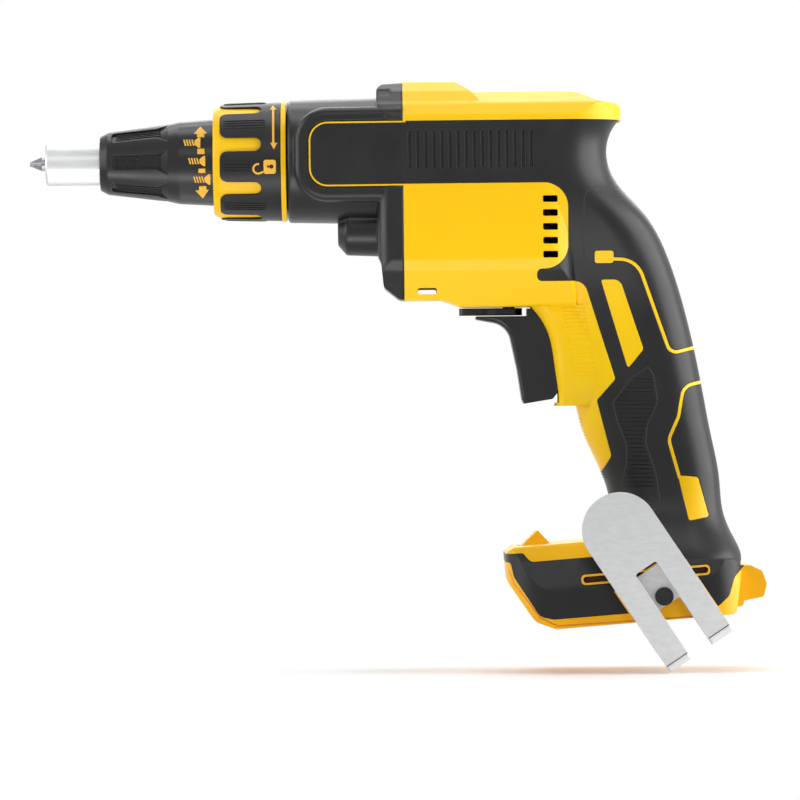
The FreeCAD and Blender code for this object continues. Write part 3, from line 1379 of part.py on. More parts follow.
hook_slots = [
    prism("outer_hook_slot", "z", box_corners(
        "-hook_screw_up - 1.5", "-hook_slot / 2", "hook_reach + 2", "hook_slot / 2", 1),
        "hook_sheet + 1", f"{HOOK_HEIGHT} + 1", HOOK),
    prism("inner_hook_slot", "z", box_corners(
        "hook_screw_radius + 1.2", "-hook_slot / 2", "hook_reach + 2", "hook_slot / 2", 1),
        -1, "hook_sheet + 1", HOOK),
    hook_bore("hook_screw_hole", "hook_screw_radius + 0.1", -1, "hook_sheet + 1")]
piece("belt_hook", cut("belt_hook_solid", common("hook_shape", hook_strip, hook_plan), *hook_slots))
piece("hook_screw", fuse("hook_screw_solid", [
    hook_bore("hook_screw_head", "hook_screw_radius * 1.7", "hook_sheet", "hook_sheet + 2"),
    hook_bore("hook_screw_shank", "hook_screw_radius", "-insert_length + 0.5", "hook_sheet + 0.5")]))


def insert(side, start):
    """Threaded sleeve in the foot's side wall; the start is measured from the left face."""
    end = f"{start} + insert_length"
    sleeve = hook_bore(f"{side}_insert_sleeve", "insert_radius", start, end)
    thread = hook_bore(f"{side}_insert_thread", "hook_screw_radius", f"{start} - 1", f"{end} + 1")
    return cut(f"{side}_insert", sleeve, thread)


piece("hook_inserts", group("insert_set", [
    insert("left", "-insert_length"),
    insert("right", "-2 * foot_half")]))

# Clamshell screws
heads = screw_holes("screw_head", "housing_screw_radius * 2 - 0.3", "screw_head_depth",
                    "screw_head_depth + 2.2")
shanks = screw_holes("screw_shank", "housing_screw_radius", "-screw_bite + 0.5", "screw_head_depth + 0.5")
piece("housing_screws", group("screw_set", [
    fuse(f"housing_screw_{i}", [head, shank]) for i, (head, shank) in enumerate(zip(heads, shanks))]))

# Check every object and write the pieces
doc.recompute()
faulty = [thing.Name for thing in doc.Objects if "Invalid" in thing.State or "Error" in thing.State]
if faulty:
    raise RuntimeError("objects that failed: " + ", ".join(faulty))
for label, thing in PIECES.items():
    if thing.Shape.isNull() or not thing.Shape.isValid() or not thing.Shape.Solids:
        raise RuntimeError(f"{label} has no sound solid")
os.makedirs("parts", exist_ok=True)
for label, thing in PIECES.items():
    thing.Shape.exportStep(f"parts/{label}.step")
    print(label, len(thing.Shape.Solids), round(thing.Shape.Volume))
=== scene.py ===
import math

import bmesh
import bpy
from mathutils import Matrix, Vector
from mathutils.bvhtree import BVHTree


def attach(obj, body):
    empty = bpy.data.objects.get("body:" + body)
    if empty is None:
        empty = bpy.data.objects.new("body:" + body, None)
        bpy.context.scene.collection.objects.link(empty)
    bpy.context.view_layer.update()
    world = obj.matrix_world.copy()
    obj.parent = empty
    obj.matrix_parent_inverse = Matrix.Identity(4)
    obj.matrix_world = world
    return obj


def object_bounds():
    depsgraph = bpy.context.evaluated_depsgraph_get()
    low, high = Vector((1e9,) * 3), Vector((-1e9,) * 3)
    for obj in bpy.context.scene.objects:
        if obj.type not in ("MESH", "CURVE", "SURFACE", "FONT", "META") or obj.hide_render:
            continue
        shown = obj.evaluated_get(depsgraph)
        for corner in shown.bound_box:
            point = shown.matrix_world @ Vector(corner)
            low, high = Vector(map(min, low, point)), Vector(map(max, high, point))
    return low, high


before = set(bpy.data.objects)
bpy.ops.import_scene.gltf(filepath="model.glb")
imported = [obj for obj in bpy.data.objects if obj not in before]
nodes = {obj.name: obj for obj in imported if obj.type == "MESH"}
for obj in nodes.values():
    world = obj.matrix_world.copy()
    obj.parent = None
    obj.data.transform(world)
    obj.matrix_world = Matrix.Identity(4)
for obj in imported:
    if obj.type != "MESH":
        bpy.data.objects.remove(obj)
cad_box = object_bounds()

MM = 0.001
REACH = 0.4  # where rays start, well outside the tool
AXIS_REACH = 0.1  # where rays aimed at the nose axis start
SMOOTH_BELOW = math.radians(32)

# Ways of looking at the tool when marks are laid on it
LEFT = Matrix.Identity(4)
RIGHT = Matrix.Scale(-1, 4, (0, 1, 0))
TURNED = Matrix.Rotation(math.pi, 4, "X")
FRONT = Matrix.Rotation(-math.pi / 2, 4, "Z")
MOULDED_SIDES = (("left", LEFT), ("right", RIGHT))
PRINTED_SIDES = (("left", LEFT), ("right", TURNED))


# Materials

CLOUD_RANGE = (0.3, 0.7)  # where most values of a noise texture lie
GRAIN = 2600.0
GRAIN_DEPTH = 0.1 * MM
EDGE_SAMPLES = 6


def linear(rgb):
    """An sRGB colour, 0 to 255, as the linear values a shader takes."""
    parts = [c / 255 for c in rgb]
    straight = [p / 12.92 if p <= 0.04045 else ((p + 0.055) / 1.055) ** 2.4 for p in parts]
    return tuple(straight) + (1.0,)


def material(name, colours, rough, metal=0.0, patch=90.0, stretch=(1, 1, 1), height=None,
             relief=0.04, soft=0.25, clear=0.0, shine=0.5):
    """A surface with fine grain and softened edges, whose colour drifts in patches, or goes with height
    as painted shade.
    """
    made = bpy.data.materials.new(name)
    made.use_nodes = True
    tree = made.node_tree
    shader = tree.nodes["Principled BSDF"]
    place = tree.nodes.new("ShaderNodeTexCoord")
    spread = tree.nodes.new("ShaderNodeMapping")
    spread.inputs["Scale"].default_value = stretch
    tree.links.new(place.outputs["Object"], spread.inputs["Vector"])

    cloud = tree.nodes.new("ShaderNodeTexNoise")
    cloud.inputs["Scale"].default_value = patch
    cloud.inputs["Detail"].default_value = 3.0
    tree.links.new(spread.outputs["Vector"], cloud.inputs["Vector"])

    ramp = tree.nodes.new("ShaderNodeValToRGB")
    stops = ramp.color_ramp.elements
    while len(stops) < len(colours):
        stops.new(0.5)
    low, high = (0.0, 1.0) if height else CLOUD_RANGE
    for index, colour in enumerate(colours):
        stops[index].position = low + (high - low) * index / (len(colours) - 1)
        stops[index].color = linear(colour)
    # Colour that goes with height is painted shade, darker towards the bottom.
    if height:
        parts = tree.nodes.new("ShaderNodeSeparateXYZ")
        level = tree.nodes.new("ShaderNodeMapRange")
        level.inputs["From Min"].default_value = height[0]
        level.inputs["From Max"].default_value = height[1]
        tree.links.new(place.outputs["Object"], parts.inputs["Vector"])
        tree.links.new(parts.outputs["Z"], level.inputs["Value"])
        tree.links.new(level.outputs["Result"], ramp.inputs["Fac"])
    else:
        tree.links.new(cloud.outputs["Fac"], ramp.inputs["Fac"])
    tree.links.new(ramp.outputs["Color"], shader.inputs["Base Color"])

    gloss = tree.nodes.new("ShaderNodeMapRange")
    gloss.inputs["From Min"].default_value = CLOUD_RANGE[0]
    gloss.inputs["From Max"].default_value = CLOUD_RANGE[1]
    gloss.inputs["To Min"].default_value = rough[0]
    gloss.inputs["To Max"].default_value = rough[1]
    tree.links.new(cloud.outputs["Fac"], gloss.inputs["Value"])
    tree.links.new(gloss.outputs["Result"], shader.inputs["Roughness"])

    fine = tree.nodes.new("ShaderNodeTexNoise")
    fine.inputs["Scale"].default_value = GRAIN
    fine.inputs["Detail"].default_value = 2.0
    tree.links.new(spread.outputs["Vector"], fine.inputs["Vector"])
    edge = tree.nodes.new("ShaderNodeBevel")
    edge.samples = EDGE_SAMPLES
    edge.inputs["Radius"].default_value = soft * MM
    bump = tree.nodes.new("ShaderNodeBump")
    bump.inputs["Strength"].default_value = relief
    bump.inputs["Distance"].default_value = GRAIN_DEPTH
    tree.links.new(fine.outputs["Fac"], bump.inputs["Height"])
    tree.links.new(edge.outputs["Normal"], bump.inputs["Normal"])
    tree.links.new(bump.outputs["Normal"], shader.inputs["Normal"])

    shader.inputs["Metallic"].default_value = metal
    shader.inputs["Transmission Weight"].default_value = clear
    shader.inputs["Specular IOR Level"].default_value = shine
    return made


# The yellow turns darker and more orange towards the bottom: painted shade on the foot and the underside.
SHADED_YELLOWS = [(251, 176, 2), (252, 192, 2), (254, 209, 2), (254, 206, 2), (255, 200, 0), (255, 207, 0)]
YELLOW_SHADE_HEIGHTS = (-0.185, 0.035)  # heights of the painted shade, from the first yellow to the last

YELLOW = material("yellow_plastic", SHADED_YELLOWS, (0.34, 0.44), height=YELLOW_SHADE_HEIGHTS, shine=0.3)
RUBBER = material("black_rubber", [(14, 14, 15), (22, 22, 23)], (0.34, 0.42), relief=0.08, soft=0.7,
                  shine=0.3)
PLASTIC = material("black_plastic", [(12, 12, 13), (19, 19, 20)], (0.26, 0.34), soft=0.6, shine=0.35)
CASE = material("black_case", [(10, 10, 11), (16, 16, 17)], (0.28, 0.36), relief=0.06, soft=1.6,
                shine=0.35)
LINE = material("shadow_line", [(14, 14, 15), (22, 22, 23)], (0.6, 0.7), soft=0.05)
# The amber lip line is painted shade in the crease along the foot's lip.
LIP_SHADE = material("painted_lip_shade", [(206, 118, 10), (220, 132, 18)], (0.4, 0.5), soft=0.05)
BROWN = material("slot_shadow", [(58, 30, 10), (82, 44, 16)], (0.6, 0.7), soft=0.05)
ORANGE = material("printed_orange", [(250, 186, 40), (254, 200, 78)], (0.45, 0.55), soft=0.05)
BRIGHT = material("bright_steel", [(206, 207, 208), (214, 215, 216)], (0.30, 0.38), metal=0.3,
                  patch=160.0, stretch=(1, 3, 3), relief=0.015)
# A lighter steel, used only as the painted highlight on the bends of the hook's prongs.
BEND_HIGHLIGHT = material("painted_bend_highlight", [(216, 217, 218), (224, 225, 226)], (0.30, 0.38), patch=160.0,
                relief=0.015)
HOOK = material("hook_steel", [(208, 209, 210), (217, 218, 219)], (0.36, 0.44), metal=0.25, patch=260.0,
                stretch=(1, 1, 3), relief=0.02)
GROUND = material("ground_steel", [(120, 121, 125), (150, 151, 155)], (0.25, 0.36), metal=1.0,
                  patch=400.0)
BLACKENED = material("blackened_steel", [(34, 34, 36), (48, 48, 50)], (0.35, 0.5), metal=0.6,
                     patch=400.0)
BRONZE = material("bronze", [(186, 140, 70), (204, 160, 90)], (0.3, 0.42), metal=1.0, patch=300.0)
COPPER = material("copper", [(184, 96, 50), (206, 118, 66)], (0.3, 0.45), metal=1.0, patch=700.0,
                  stretch=(6, 1, 1))
LAMINATE = material("laminated_iron", [(96, 97, 100), (132, 133, 136)], (0.4, 0.55), metal=0.9,
                    patch=500.0, stretch=(8, 1, 1))
BOARD = material("circuit_board", [(14, 70, 36), (26, 92, 48)], (0.3, 0.4), patch=300.0)
# This grey also paints the shade in the creases of the hook's prongs.
GREY_AND_CREASE_SHADE = material("grey_plastic_and_crease_shade", [(70, 71, 74), (84, 85, 88)], (0.4, 0.5))
LENS = material("clear_lens", [(244, 244, 238), (252, 252, 248)], (0.06, 0.12), clear=0.85)

FINISHES = [
    (YELLOW, ["left_housing", "right_housing", "lock_collar"]),
    (RUBBER, ["left_overmould", "right_overmould", "collar_grip"]),
    (PLASTIC, ["depth_cone", "trigger", "reversing_lever"]),
    (GREY_AND_CREASE_SHADE, ["switch_body", "control_module", "terminal_block", "fan"]),
    (CASE, ["gear_case"]),
    (BRIGHT, ["nosepiece"]),
    (HOOK, ["belt_hook"]),
    (BLACKENED, ["hook_screw", "housing_screws", "gear_case_screws"]),
    (BRONZE, ["front_bush", "rear_bush", "pinion_bush", "hook_inserts"]),
    (COPPER, ["stator_windings", "battery_contacts"]),
    (LAMINATE, ["motor_stator", "rotor_core"]),
    (BOARD, ["sensor_board", "lamp_board"]),
    (LENS, ["lamp_lens"]),
]
named = {node for _, members in FINISHES for node in members}
FINISHES.append((GROUND, [node for node in nodes if node not in named]))

for paint, members in FINISHES:
    for node in members:
        shape = nodes[node].data
        shape.materials.clear()
        shape.materials.append(paint)


# Laying small pieces on the CAD surfaces

MOST_SPLITS = 6
RIDGE_END = 0.4  # share of a ridge's height that is left at its ends
LINE_STEP = 1.0

surfaces = {}


def surface(node):
    """The CAD node as something rays can be cast at."""
    if node not in surfaces:
        shape = nodes[node].data
        corners = [vertex.co for vertex in shape.vertices]
        faces = [tuple(face.vertices) for face in shape.polygons]
        surfaces[node] = BVHTree.FromPolygons(corners, faces)
    return surfaces[node]


def cast(node, view, start, heading):
    """Where a ray meets the node and which way the surface faces there, or None."""
    heading = view.to_3x3() @ heading
    place, normal, _, _ = surface(node).ray_cast(view @ start, heading)
    if place is None:
        return None
    if normal.dot(heading) > 0:
        normal = -normal
    return place, normal


def from_side(x, z):
    """A ray straight at the tool's side, for a point in millimetres."""
    return Vector((x * MM, -REACH, z * MM)), Vector((0, 1, 0))


def from_front(y, z):
    """A ray straight back along the tool, for a point in millimetres."""
    return Vector((-REACH, y * MM, z * MM)), Vector((1, 0, 0))


def towards_axis(x, angle):
    """A ray at the nose axis, for a distance along it in millimetres and an angle in degrees."""
    out = Vector((0, -math.cos(math.radians(angle)), math.sin(math.radians(angle))))
    return Vector((x * MM, 0, 0)) + out * AXIS_REACH, -out


def add_piece(name, mesh, paint, body):
    """Turns a finished mesh into a piece that rides on a body."""
    bmesh.ops.recalc_face_normals(mesh, faces=mesh.faces[:])
    shape = bpy.data.meshes.new(name)
    mesh.to_mesh(shape)
    mesh.free()
    shape.shade_smooth()
    shape.set_sharp_from_angle(angle=SMOOTH_BELOW)
    shape.materials.append(paint)
    made = bpy.data.objects.new(name, shape)
    bpy.context.scene.collection.objects.link(made)
    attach(made, body)
    return made


def film(name, outlines, node, paint, body, view=LEFT, lift=0.08, step=0.7):
    """Thin raised marks on a node: outlines in millimetres as seen from the side."""
    mesh = bmesh.new()
    for outline in outlines:
        mesh.faces.new([mesh.verts.new((x * MM, 0, z * MM)) for x, z in outline])
    mesh.normal_update()
    bmesh.ops.triangulate(mesh, faces=mesh.faces[:])
    for _ in range(MOST_SPLITS):
        long_edges = [edge for edge in mesh.edges if edge.calc_length() > step * MM]
        if not long_edges:
            break
        bmesh.ops.subdivide_edges(mesh, edges=long_edges, cuts=1)
        bmesh.ops.triangulate(mesh, faces=mesh.faces[:])
    lost = []
    for vertex in mesh.verts:
        hit = cast(node, view, *from_side(vertex.co.x / MM, vertex.co.z / MM))
        if hit is None:
            lost.append(vertex)
        else:
            vertex.co = hit[0] + hit[1] * lift * MM
    bmesh.ops.delete(mesh, geom=lost, context="VERTS")
    made = add_piece(name, mesh, paint, body)
    thick = made.modifiers.new("thickness", "SOLIDIFY")
    thick.thickness = 2 * lift * MM
    thick.offset = 0.0
    return made


# Shares of a ridge's width and height, going round its section
RIDGE = [(-0.5, -0.2), (-0.34, 0.6), (-0.12, 1.0), (0.12, 1.0), (0.34, 0.6), (0.5, -0.2)]


def ridge(mesh, node, view, rays, width, height):
    """Adds one rounded ridge along the points where the rays meet a node."""
    hits = [hit for hit in (cast(node, view, *ray) for ray in rays) if hit]
    if len(hits) < 2:
        return
    rings = []
    for index, (place, normal) in enumerate(hits):
        ahead = hits[min(index + 1, len(hits) - 1)][0] - hits[max(index - 1, 0)][0]
        across = normal.cross(ahead.normalized()).normalized()
        full = RIDGE_END if index in (0, len(hits) - 1) else 1.0
        ring = []
        for aside, rise in RIDGE:
            offset = across * aside * width + normal * rise * height * full
            ring.append(mesh.verts.new(place + offset * MM))
        rings.append(ring)
    for first, second in zip(rings, rings[1:]):
        for near in range(len(RIDGE)):
            far = (near + 1) % len(RIDGE)
            mesh.faces.new((first[near], first[far], second[far], second[near]))
    mesh.faces.new(rings[0])
    mesh.faces.new(rings[-1])


def between(first, last, count):
    """Evenly spaced numbers from first to last."""
    return [first + (last - first) * index / (count - 1) for index in range(count)]


def along(corners):
    """Points every millimetre or so along a line through corners."""
    points = [corners[0]]
    for (x0, z0), (x1, z1) in zip(corners, corners[1:]):
        count = max(2, round(math.hypot(x1 - x0, z1 - z0) / LINE_STEP) + 1)
        points += list(zip(between(x0, x1, count), between(z0, z1, count)))[1:]
    return points


def edge_at(corners, z):
    """Where a line of corners, listed from the top down, crosses a height."""
    for (x0, z0), (x1, z1) in zip(corners, corners[1:]):
        if z1 <= z <= z0:
            return x0 + (x1 - x0) * (z - z0) / (z1 - z0)
    return None


# Fine ribs on the nose: in the cone's hollows and on the collar's black fingers

CONE_HOLLOWS = 7
CONE_RIB_ANGLES = between(-9.0, 9.0, 5)
CONE_RIB_POINTS = between(32.5, 49.5, 14)
CONE_RIB_SIZE = (0.55, 0.28)  # width and height
COLLAR_FINGERS = 8
FINGER_START = -6.5
FINGER_RIB_ANGLES = between(-4.4, 4.4, 4)
FINGER_RIB_POINTS = between(72.9, 88.7, 12)
SIGNED_RIB_POINTS = between(72.9, 82.7, 12)
SIGNED_FINGERS = (0, 4)
FINGER_RIB_SIZE = (0.7, 0.3)

cone_ribs = bmesh.new()
for hollow in range(CONE_HOLLOWS):
    for spread in CONE_RIB_ANGLES:
        angle = 360 * hollow / CONE_HOLLOWS + spread
        rays = [towards_axis(x, angle) for x in CONE_RIB_POINTS]
        ridge(cone_ribs, "depth_cone", LEFT, rays, *CONE_RIB_SIZE)
add_piece("cone_ribs", cone_ribs, PLASTIC, "depth_cone")

finger_ribs = bmesh.new()
for finger in range(COLLAR_FINGERS):
    points = SIGNED_RIB_POINTS if finger in SIGNED_FINGERS else FINGER_RIB_POINTS
    for spread in FINGER_RIB_ANGLES:
        angle = FINGER_START + 360 * finger / COLLAR_FINGERS + spread
        rays = [towards_axis(x, angle) for x in points]
        ridge(finger_ribs, "collar_grip", LEFT, rays, *FINGER_RIB_SIZE)
add_piece("finger_ribs", finger_ribs, RUBBER, "lock_collar")


# Printed signs on the cone: a double arrow and three little screws at different depths

SIGN_SCREWS = [(57.8, 6.9), (59.6, 0.0), (61.4, -6.8)]  # tip and level of each
SIGN_LENGTH = 6.6
SIGN_HEAD_LENGTH = 2.2
SIGN_RIM_LENGTH = 0.7
SIGN_HEAD_RADIUS = 1.9
SIGN_NECK_RADIUS = 0.7
SIGN_THREADS = 4
SIGN_THREAD_START = 0.2
SIGN_THREAD_PITCH = 1.0
SIGN_THREAD_WIDTH = 0.55
SIGN_THREAD_LEAN = 0.6
SIGN_THREAD_RADIUS = 1.15


def little_screw(tip, level):
    """Outlines of a small screw lying along the nose with its tip forward."""
    head = tip + SIGN_LENGTH
    neck = head - SIGN_HEAD_LENGTH
    rim = head - SIGN_RIM_LENGTH
    low, high = level - SIGN_HEAD_RADIUS, level + SIGN_HEAD_RADIUS
    shapes = [[(neck, level - SIGN_NECK_RADIUS), (rim, low), (head, low),
               (head, high), (rim, high), (neck, level + SIGN_NECK_RADIUS)]]
    low, high = level - SIGN_THREAD_RADIUS, level + SIGN_THREAD_RADIUS
    for turn in range(SIGN_THREADS):
        top = tip + SIGN_THREAD_START + SIGN_THREAD_PITCH * turn
        foot = top + SIGN_THREAD_LEAN
        shapes.append([(top, high), (top + SIGN_THREAD_WIDTH, high),
                       (foot + SIGN_THREAD_WIDTH, low), (foot, low)])
    return shapes


def cone_signs():
    """Outlines of all signs on one side of the cone."""
    shapes = [
        [(61.9, 10.3), (63.1, 10.2), (63.2, 9.0), (65.9, 9.0), (65.8, 10.3), (66.9, 10.4), (64.3, 13.0)],
        [(63.3, 4.6), (65.9, 4.6), (66.0, 2.6), (63.3, 2.6)],
        [(63.6, -2.8), (66.2, -2.8), (66.2, -4.4), (63.6, -4.4)],
        [(62.3, -10.7), (64.9, -13.6), (67.3, -10.5), (66.4, -10.5), (66.4, -9.2), (63.7, -9.2),
         (63.6, -10.7)],
    ]
    for tip, level in SIGN_SCREWS:
        shapes += little_screw(tip, level)
    return shapes


for side, view in PRINTED_SIDES:
    film(f"cone_signs_{side}", cone_signs(), "depth_cone", ORANGE, "depth_cone", view)


# Printed signs on the collar: a turning arrow and an open padlock

ARC_POINTS = 14
SHACKLE = (85.9, -3.3)
SHACKLE_RADII = (1.4, 2.1)
KEYHOLE_LIFT = 0.16


def arc(x, z, radius, start, end):
    """Points on a circle between two angles in degrees."""
    turns = [math.radians(angle) for angle in between(start, end, ARC_POINTS)]
    return [(x + radius * math.cos(turn), z + radius * math.sin(turn)) for turn in turns]


def collar_signs():
    """Outlines of the signs on one side of the collar."""
    arrow = [(90.3, 18.9), (91.5, 20.6), (92.8, 18.9), (92.0, 18.9), (92.1, 6.3), (93.2, 6.3),
             (91.9, 3.8), (90.6, 6.3), (91.3, 6.3), (91.2, 18.9)]
    lock = [(88.0, -4.6), (88.0, -0.6), (88.5, 0.0), (92.1, 0.0), (92.6, -0.6), (92.6, -4.6),
            (92.1, -5.2), (88.5, -5.2)]
    inner, outer = SHACKLE_RADII
    shackle = arc(*SHACKLE, outer, 75, 285) + [(88.2, -4.7), (88.2, -4.0)] + arc(*SHACKLE, inner, 285, 75)
    return [arrow, lock, shackle]


KEYHOLE = arc(90.9, -2.5, 0.75, -155, 155) + [(89.3, -2.1), (89.3, -2.9)]

for side, view in PRINTED_SIDES:
    film(f"collar_signs_{side}", collar_signs(), "collar_grip", ORANGE, "lock_collar",
         view)
    film(f"keyhole_{side}", [KEYHOLE], "collar_grip", LINE, "lock_collar", view,
         KEYHOLE_LIFT)


# Ribs and lines moulded into the handle, and painted shade along the foot's lip

STRIP_TOP, STRIP_FOOT = -55.0, -81.0
STRIP_RIBS = 20
STRIP_FRONT = 198.4
STRIP_LEAN = 4.4
STRIP_WIDTH = 8.3
STRIP_RIB_POINTS = 9
STRIP_RIB_SIZE = (0.6, 0.2)
PANEL_RIB_LEVELS = between(-82.5, -122.5, 26)
PANEL_RIB_MARGIN = 0.8
PANEL_RIB_POINTS = 16
PANEL_RIB_SIZE = (0.9, 0.3)
PANEL_BACK = [(230.3, -78.5), (232.3, -81.5), (233.7, -91.6), (229.6, -100.6), (229.0, -106.6),
              (232.9, -118.7), (234.3, -128.8)]
PANEL_FRONT = [(230.3, -78.5), (223.7, -82.9), (217.1, -91.4), (218.5, -98.5), (222.0, -107.5),
               (221.9, -114.6), (219.8, -124.6)]
NECK_LINE = [(222.0, -11.2), (211.0, -11.4), (208.2, -12.6), (206.8, -15.5), (206.6, -25.0),
             (207.0, -39.3), (211.5, -39.6)]
FOOT_LIP = [(177.6, -153.3), (179.4, -158.3), (189.1, -171.1), (195.3, -174.0), (225.8, -172.2),
            (252.5, -170.5)]
LIP_SIZE = (0.6, 0.12)
LINE_SIZE = (0.5, 0.1)
GRIP_FRONTS = [("housing", YELLOW, "yellow_plastic", between(-97.6, -107.2, 9)),
               ("overmould", RUBBER, "black_rubber", between(-111.5, -119.5, 9))]
TOOTH_POINTS = between(-0.4, -8.0, 9)
TOOTH_SIZE = (0.6, 0.22)

for side, view in MOULDED_SIDES:
    strip = bmesh.new()
    for z in between(STRIP_TOP, STRIP_FOOT, STRIP_RIBS):
        share = (z - STRIP_TOP) / (STRIP_FOOT - STRIP_TOP)
        start = STRIP_FRONT + STRIP_LEAN * share
        rays = [from_side(x, z) for x in between(start, start + STRIP_WIDTH, STRIP_RIB_POINTS)]
        ridge(strip, f"{side}_housing", view, rays, *STRIP_RIB_SIZE)
    add_piece(f"{side}_strip_ribs", strip, YELLOW, "housing")

    panel = bmesh.new()
    for z in PANEL_RIB_LEVELS:
        front = edge_at(PANEL_FRONT, z) + PANEL_RIB_MARGIN
        back = edge_at(PANEL_BACK, z) - PANEL_RIB_MARGIN
        rays = [from_side(x, z) for x in between(front, back, PANEL_RIB_POINTS)]
        ridge(panel, f"{side}_overmould", view, rays, *PANEL_RIB_SIZE)
    add_piece(f"{side}_panel_ribs", panel, RUBBER, "housing")

    for node, paint, slot, levels in GRIP_FRONTS:
        teeth = bmesh.new()
        for z in levels:
            rays = [from_front(y, z) for y in TOOTH_POINTS]
            ridge(teeth, f"{side}_{node}", view, rays, *TOOTH_SIZE)
        add_piece(f"{side}_{node}_teeth", teeth, paint, "housing")

    # A low ridge along the foot's lip, painted darker amber as the shade in its crease.
    lip = bmesh.new()
    ridge(lip, f"{side}_housing", view, [from_side(x, z) for x, z in along(FOOT_LIP)], *LIP_SIZE)
    add_piece(f"{side}_lip_line", lip, LIP_SHADE, "housing")

    lines = bmesh.new()
    for corners in (PANEL_BACK, PANEL_FRONT, NECK_LINE):
        rays = [from_side(x, z) for x, z in along(corners)]
        ridge(lines, f"{side}_overmould", view, rays, *LINE_SIZE)
    add_piece(f"{side}_moulded_lines", lines, LINE, "housing")


# Shaded floor of the foot's side slot

SLOT_FLOOR = [(205.3, -158.0), (206.0, -158.2), (250.6, -154.9), (251.2, -154.1), (251.0, -153.0),
              (250.4, -152.8), (205.7, -156.0), (205.1, -156.8)]
SLOT_STEP = 1.5

film("slot_floor", [SLOT_FLOOR], "left_housing", BROWN, "housing", step=SLOT_STEP)


# Painted highlights on the bends at the ends of the hook's prongs, each below a thin crease in painted
# shade

HOOK_SCREW = (234.736, -163.377)
HOOK_LEAN = math.radians(33.4)
PRONGS = [(-13.8, -4.8), (4.8, 13.8)]  # edges of each, across the hook from its screw
CREASE_START = 21.49  # along the hook from its screw
BEND_START = 21.79
BEND_END = 23.99


def on_hook(down, aside):
    """A point of the hook as seen from the side, measured from its screw along and across it."""
    x, z = HOOK_SCREW
    return (x + down * math.sin(HOOK_LEAN) + aside * math.cos(HOOK_LEAN),
            z - down * math.cos(HOOK_LEAN) + aside * math.sin(HOOK_LEAN))


def prong_bands(start, end):
    """Outlines of a band across each prong."""
    return [[on_hook(start, near), on_hook(start, far), on_hook(end, far), on_hook(end, near)]
            for near, far in PRONGS]


# The light films on the bends are painted highlights; the grey films above them are painted shade.
film("prong_ends", prong_bands(BEND_START, BEND_END), "belt_hook", BEND_HIGHLIGHT, "housing")
film("prong_creases", prong_bands(CREASE_START, BEND_START), "belt_hook", GREY_AND_CREASE_SHADE, "housing")


# Six-lobed drives in the screw heads, as dark films: painted shade where the recesses are

HOUSING_SCREWS = [(154.9, 10), (189.9, 9), (206.9, -42), (235.9, -74), (231.9, -112), (237.9, -141)]
CASE_SCREWS = [(17.5, 22.2), (-17.5, 22.2), (20.5, -45), (-20.5, -45)]
DRIVE_RADIUS = 1.7
HOOK_DRIVE_RADIUS = 2.0
DRIVE_LIFT = 0.04
DRIVE_POINTS = 48
LOBES = 6
LOBE_DEPTH = 0.14  # share of the drive's radius


def six_lobes(x, z, radius):
    """Outline of a six-lobed screw drive."""
    points = []
    for step in range(DRIVE_POINTS):
        turn = 2 * math.pi * step / DRIVE_POINTS
        reach = radius * (1 - LOBE_DEPTH + LOBE_DEPTH * math.cos(LOBES * turn))
        points.append((x + reach * math.cos(turn), z + reach * math.sin(turn)))
    return points


housing_drives = [six_lobes(x, z, DRIVE_RADIUS) for x, z in HOUSING_SCREWS]
case_drives = [six_lobes(y, z, DRIVE_RADIUS) for y, z in CASE_SCREWS]
hook_drives = [six_lobes(*HOOK_SCREW, HOOK_DRIVE_RADIUS)]
DRIVES = [("housing_screw_drives", housing_drives, "housing_screws", RIGHT),
          ("case_screw_drives", case_drives, "gear_case_screws", FRONT),
          ("hook_screw_drive", hook_drives, "hook_screw", LEFT)]
for name, outlines, screws, view in DRIVES:
    film(name, outlines, screws, LINE, "housing", view, DRIVE_LIFT)


# Floor, light and camera

FLOOR_GAP = 0.3 * MM
FLOOR_LEVEL = cad_box[0].z - FLOOR_GAP
FLOOR_X = 0.225
FLOOR_RADIUS = 0.17
FLOOR_SIDES = 96
FLOOR_FADE = (0.02, 0.55)  # from white to floor, counted from the rim to the middle
WORLD_LIGHT = 0.18
MIDDLE = Vector((0.1378, 0.0, -0.0898))  # what lights and camera look at
CAMERA_AWAY = 2.5
FRAME_WIDTH = 0.3
SENSOR = 36.0
ROLL = math.radians(0.6)


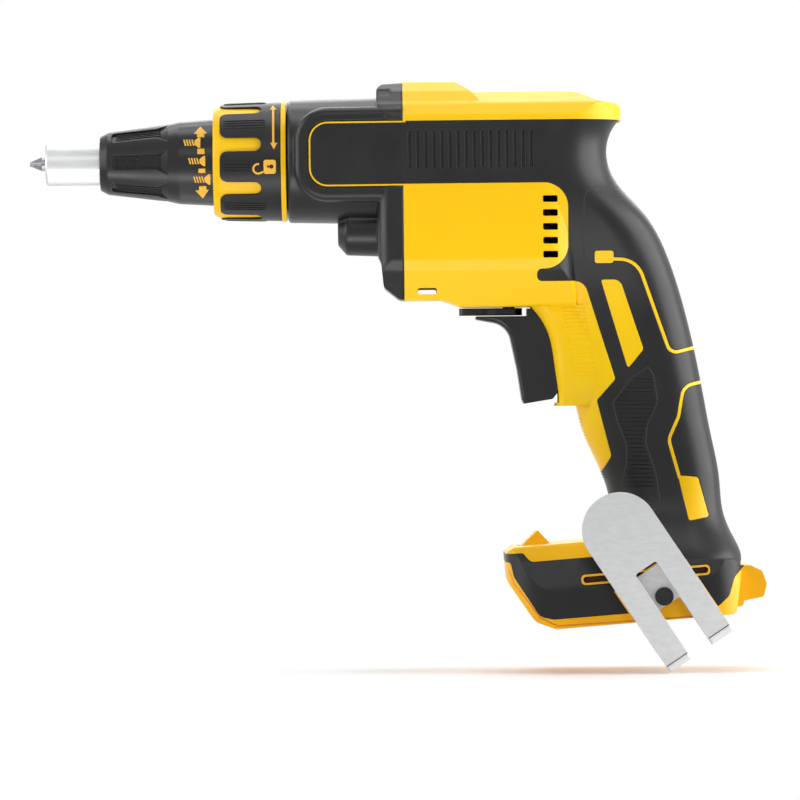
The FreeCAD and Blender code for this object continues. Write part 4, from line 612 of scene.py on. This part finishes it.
def build_floor():
    """A small pale floor that fades into the white behind it."""
    mesh = bmesh.new()
    bmesh.ops.create_circle(mesh, cap_ends=True, segments=FLOOR_SIDES, radius=FLOOR_RADIUS)
    shape = bpy.data.meshes.new("floor")
    mesh.to_mesh(shape)
    mesh.free()
    floor = bpy.data.objects.new("floor", shape)
    floor.location = (FLOOR_X, 0.0, FLOOR_LEVEL)
    bpy.context.scene.collection.objects.link(floor)
    paint = bpy.data.materials.new("pale_floor")
    paint.use_nodes = True
    tree = paint.node_tree
    shader = tree.nodes["Principled BSDF"]
    shader.inputs["Base Color"].default_value = (0.93, 0.93, 0.93, 1)
    shader.inputs["Roughness"].default_value = 0.9
    shader.inputs["Specular IOR Level"].default_value = 0.1
    white = tree.nodes.new("ShaderNodeEmission")
    place = tree.nodes.new("ShaderNodeTexCoord")
    reach = tree.nodes.new("ShaderNodeMapping")
    reach.inputs["Scale"].default_value = (1 / FLOOR_RADIUS, 1 / FLOOR_RADIUS, 1)
    ball = tree.nodes.new("ShaderNodeTexGradient")
    ball.gradient_type = "SPHERICAL"
    fade = tree.nodes.new("ShaderNodeMapRange")
    fade.interpolation_type = "SMOOTHSTEP"
    fade.inputs["From Min"].default_value = FLOOR_FADE[0]
    fade.inputs["From Max"].default_value = FLOOR_FADE[1]
    mix = tree.nodes.new("ShaderNodeMixShader")
    tree.links.new(place.outputs["Object"], reach.inputs["Vector"])
    tree.links.new(reach.outputs["Vector"], ball.inputs["Vector"])
    tree.links.new(ball.outputs["Fac"], fade.inputs["Value"])
    tree.links.new(fade.outputs["Result"], mix.inputs["Fac"])
    tree.links.new(white.outputs["Emission"], mix.inputs[1])
    tree.links.new(shader.outputs["BSDF"], mix.inputs[2])
    tree.links.new(mix.outputs["Shader"], tree.nodes["Material Output"].inputs["Surface"])
    shape.materials.append(paint)


def build_world():
    """White to the camera and in reflections, and a soft pale grey that lights the tool."""
    world = bpy.data.worlds.new("studio")
    bpy.context.scene.world = world
    world.use_nodes = True
    tree = world.node_tree
    soft = tree.nodes["Background"]
    soft.inputs["Color"].default_value = (1, 1, 1, 1)
    soft.inputs["Strength"].default_value = WORLD_LIGHT
    white = tree.nodes.new("ShaderNodeBackground")
    white.inputs["Color"].default_value = (1, 1, 1, 1)
    path = tree.nodes.new("ShaderNodeLightPath")
    seen = path.outputs["Is Camera Ray"]
    for ray in ("Is Glossy Ray", "Is Transmission Ray"):
        either = tree.nodes.new("ShaderNodeMath")
        either.operation = "MAXIMUM"
        tree.links.new(seen, either.inputs[0])
        tree.links.new(path.outputs[ray], either.inputs[1])
        seen = either.outputs["Value"]
    mix = tree.nodes.new("ShaderNodeMixShader")
    tree.links.new(seen, mix.inputs["Fac"])
    tree.links.new(soft.outputs["Background"], mix.inputs[1])
    tree.links.new(white.outputs["Background"], mix.inputs[2])
    tree.links.new(mix.outputs["Shader"], tree.nodes["World Output"].inputs["Surface"])


def add_light(name, place, size, power):
    """A soft area light aimed at the tool's middle."""
    lamp = bpy.data.lights.new(name, "AREA")
    lamp.shape = "RECTANGLE"
    lamp.size, lamp.size_y = size
    lamp.energy = power
    made = bpy.data.objects.new(name, lamp)
    made.location = place
    made.rotation_euler = (MIDDLE - Vector(place)).to_track_quat("-Z", "Y").to_euler()
    bpy.context.scene.collection.objects.link(made)


build_floor()
build_world()
add_light("key_above", (0.1, -0.05, 1.35), (1.6, 0.4), 7)
add_light("strip_above", (0.1, 0.75, 1.25), (1.4, 0.3), 5)
add_light("strip_below", (0.1, 0.0, -1.2), (1.4, 0.3), 4.5)
add_light("soft_left", (-1.2, -0.3, 0.3), (1.0, 1.2), 12)
add_light("soft_right", (1.45, -0.15, 0.25), (1.4, 1.2), 26)
add_light("high_front", (0.2, -1.9, 1.0), (1.2, 0.5), 4.5)
add_light("low_front", (0.0, -0.8, -0.75), (1.2, 0.3), 6.5)
add_light("soft_back", (0.2, 1.6, 0.7), (1.6, 1.0), 12)

eye = bpy.data.cameras.new("camera")
eye.sensor_width = SENSOR
eye.lens = SENSOR * CAMERA_AWAY / FRAME_WIDTH
camera = bpy.data.objects.new("camera", eye)
right = Vector((math.cos(ROLL), 0, -math.sin(ROLL)))
up = Vector((math.sin(ROLL), 0, math.cos(ROLL)))
turn = Matrix((right, up, right.cross(up))).transposed().to_4x4()
camera.matrix_world = Matrix.Translation(MIDDLE - Vector((0, CAMERA_AWAY, 0))) @ turn
bpy.context.scene.collection.objects.link(camera)
bpy.context.scene.camera = camera
bpy.context.scene.view_settings.view_transform = "Standard"
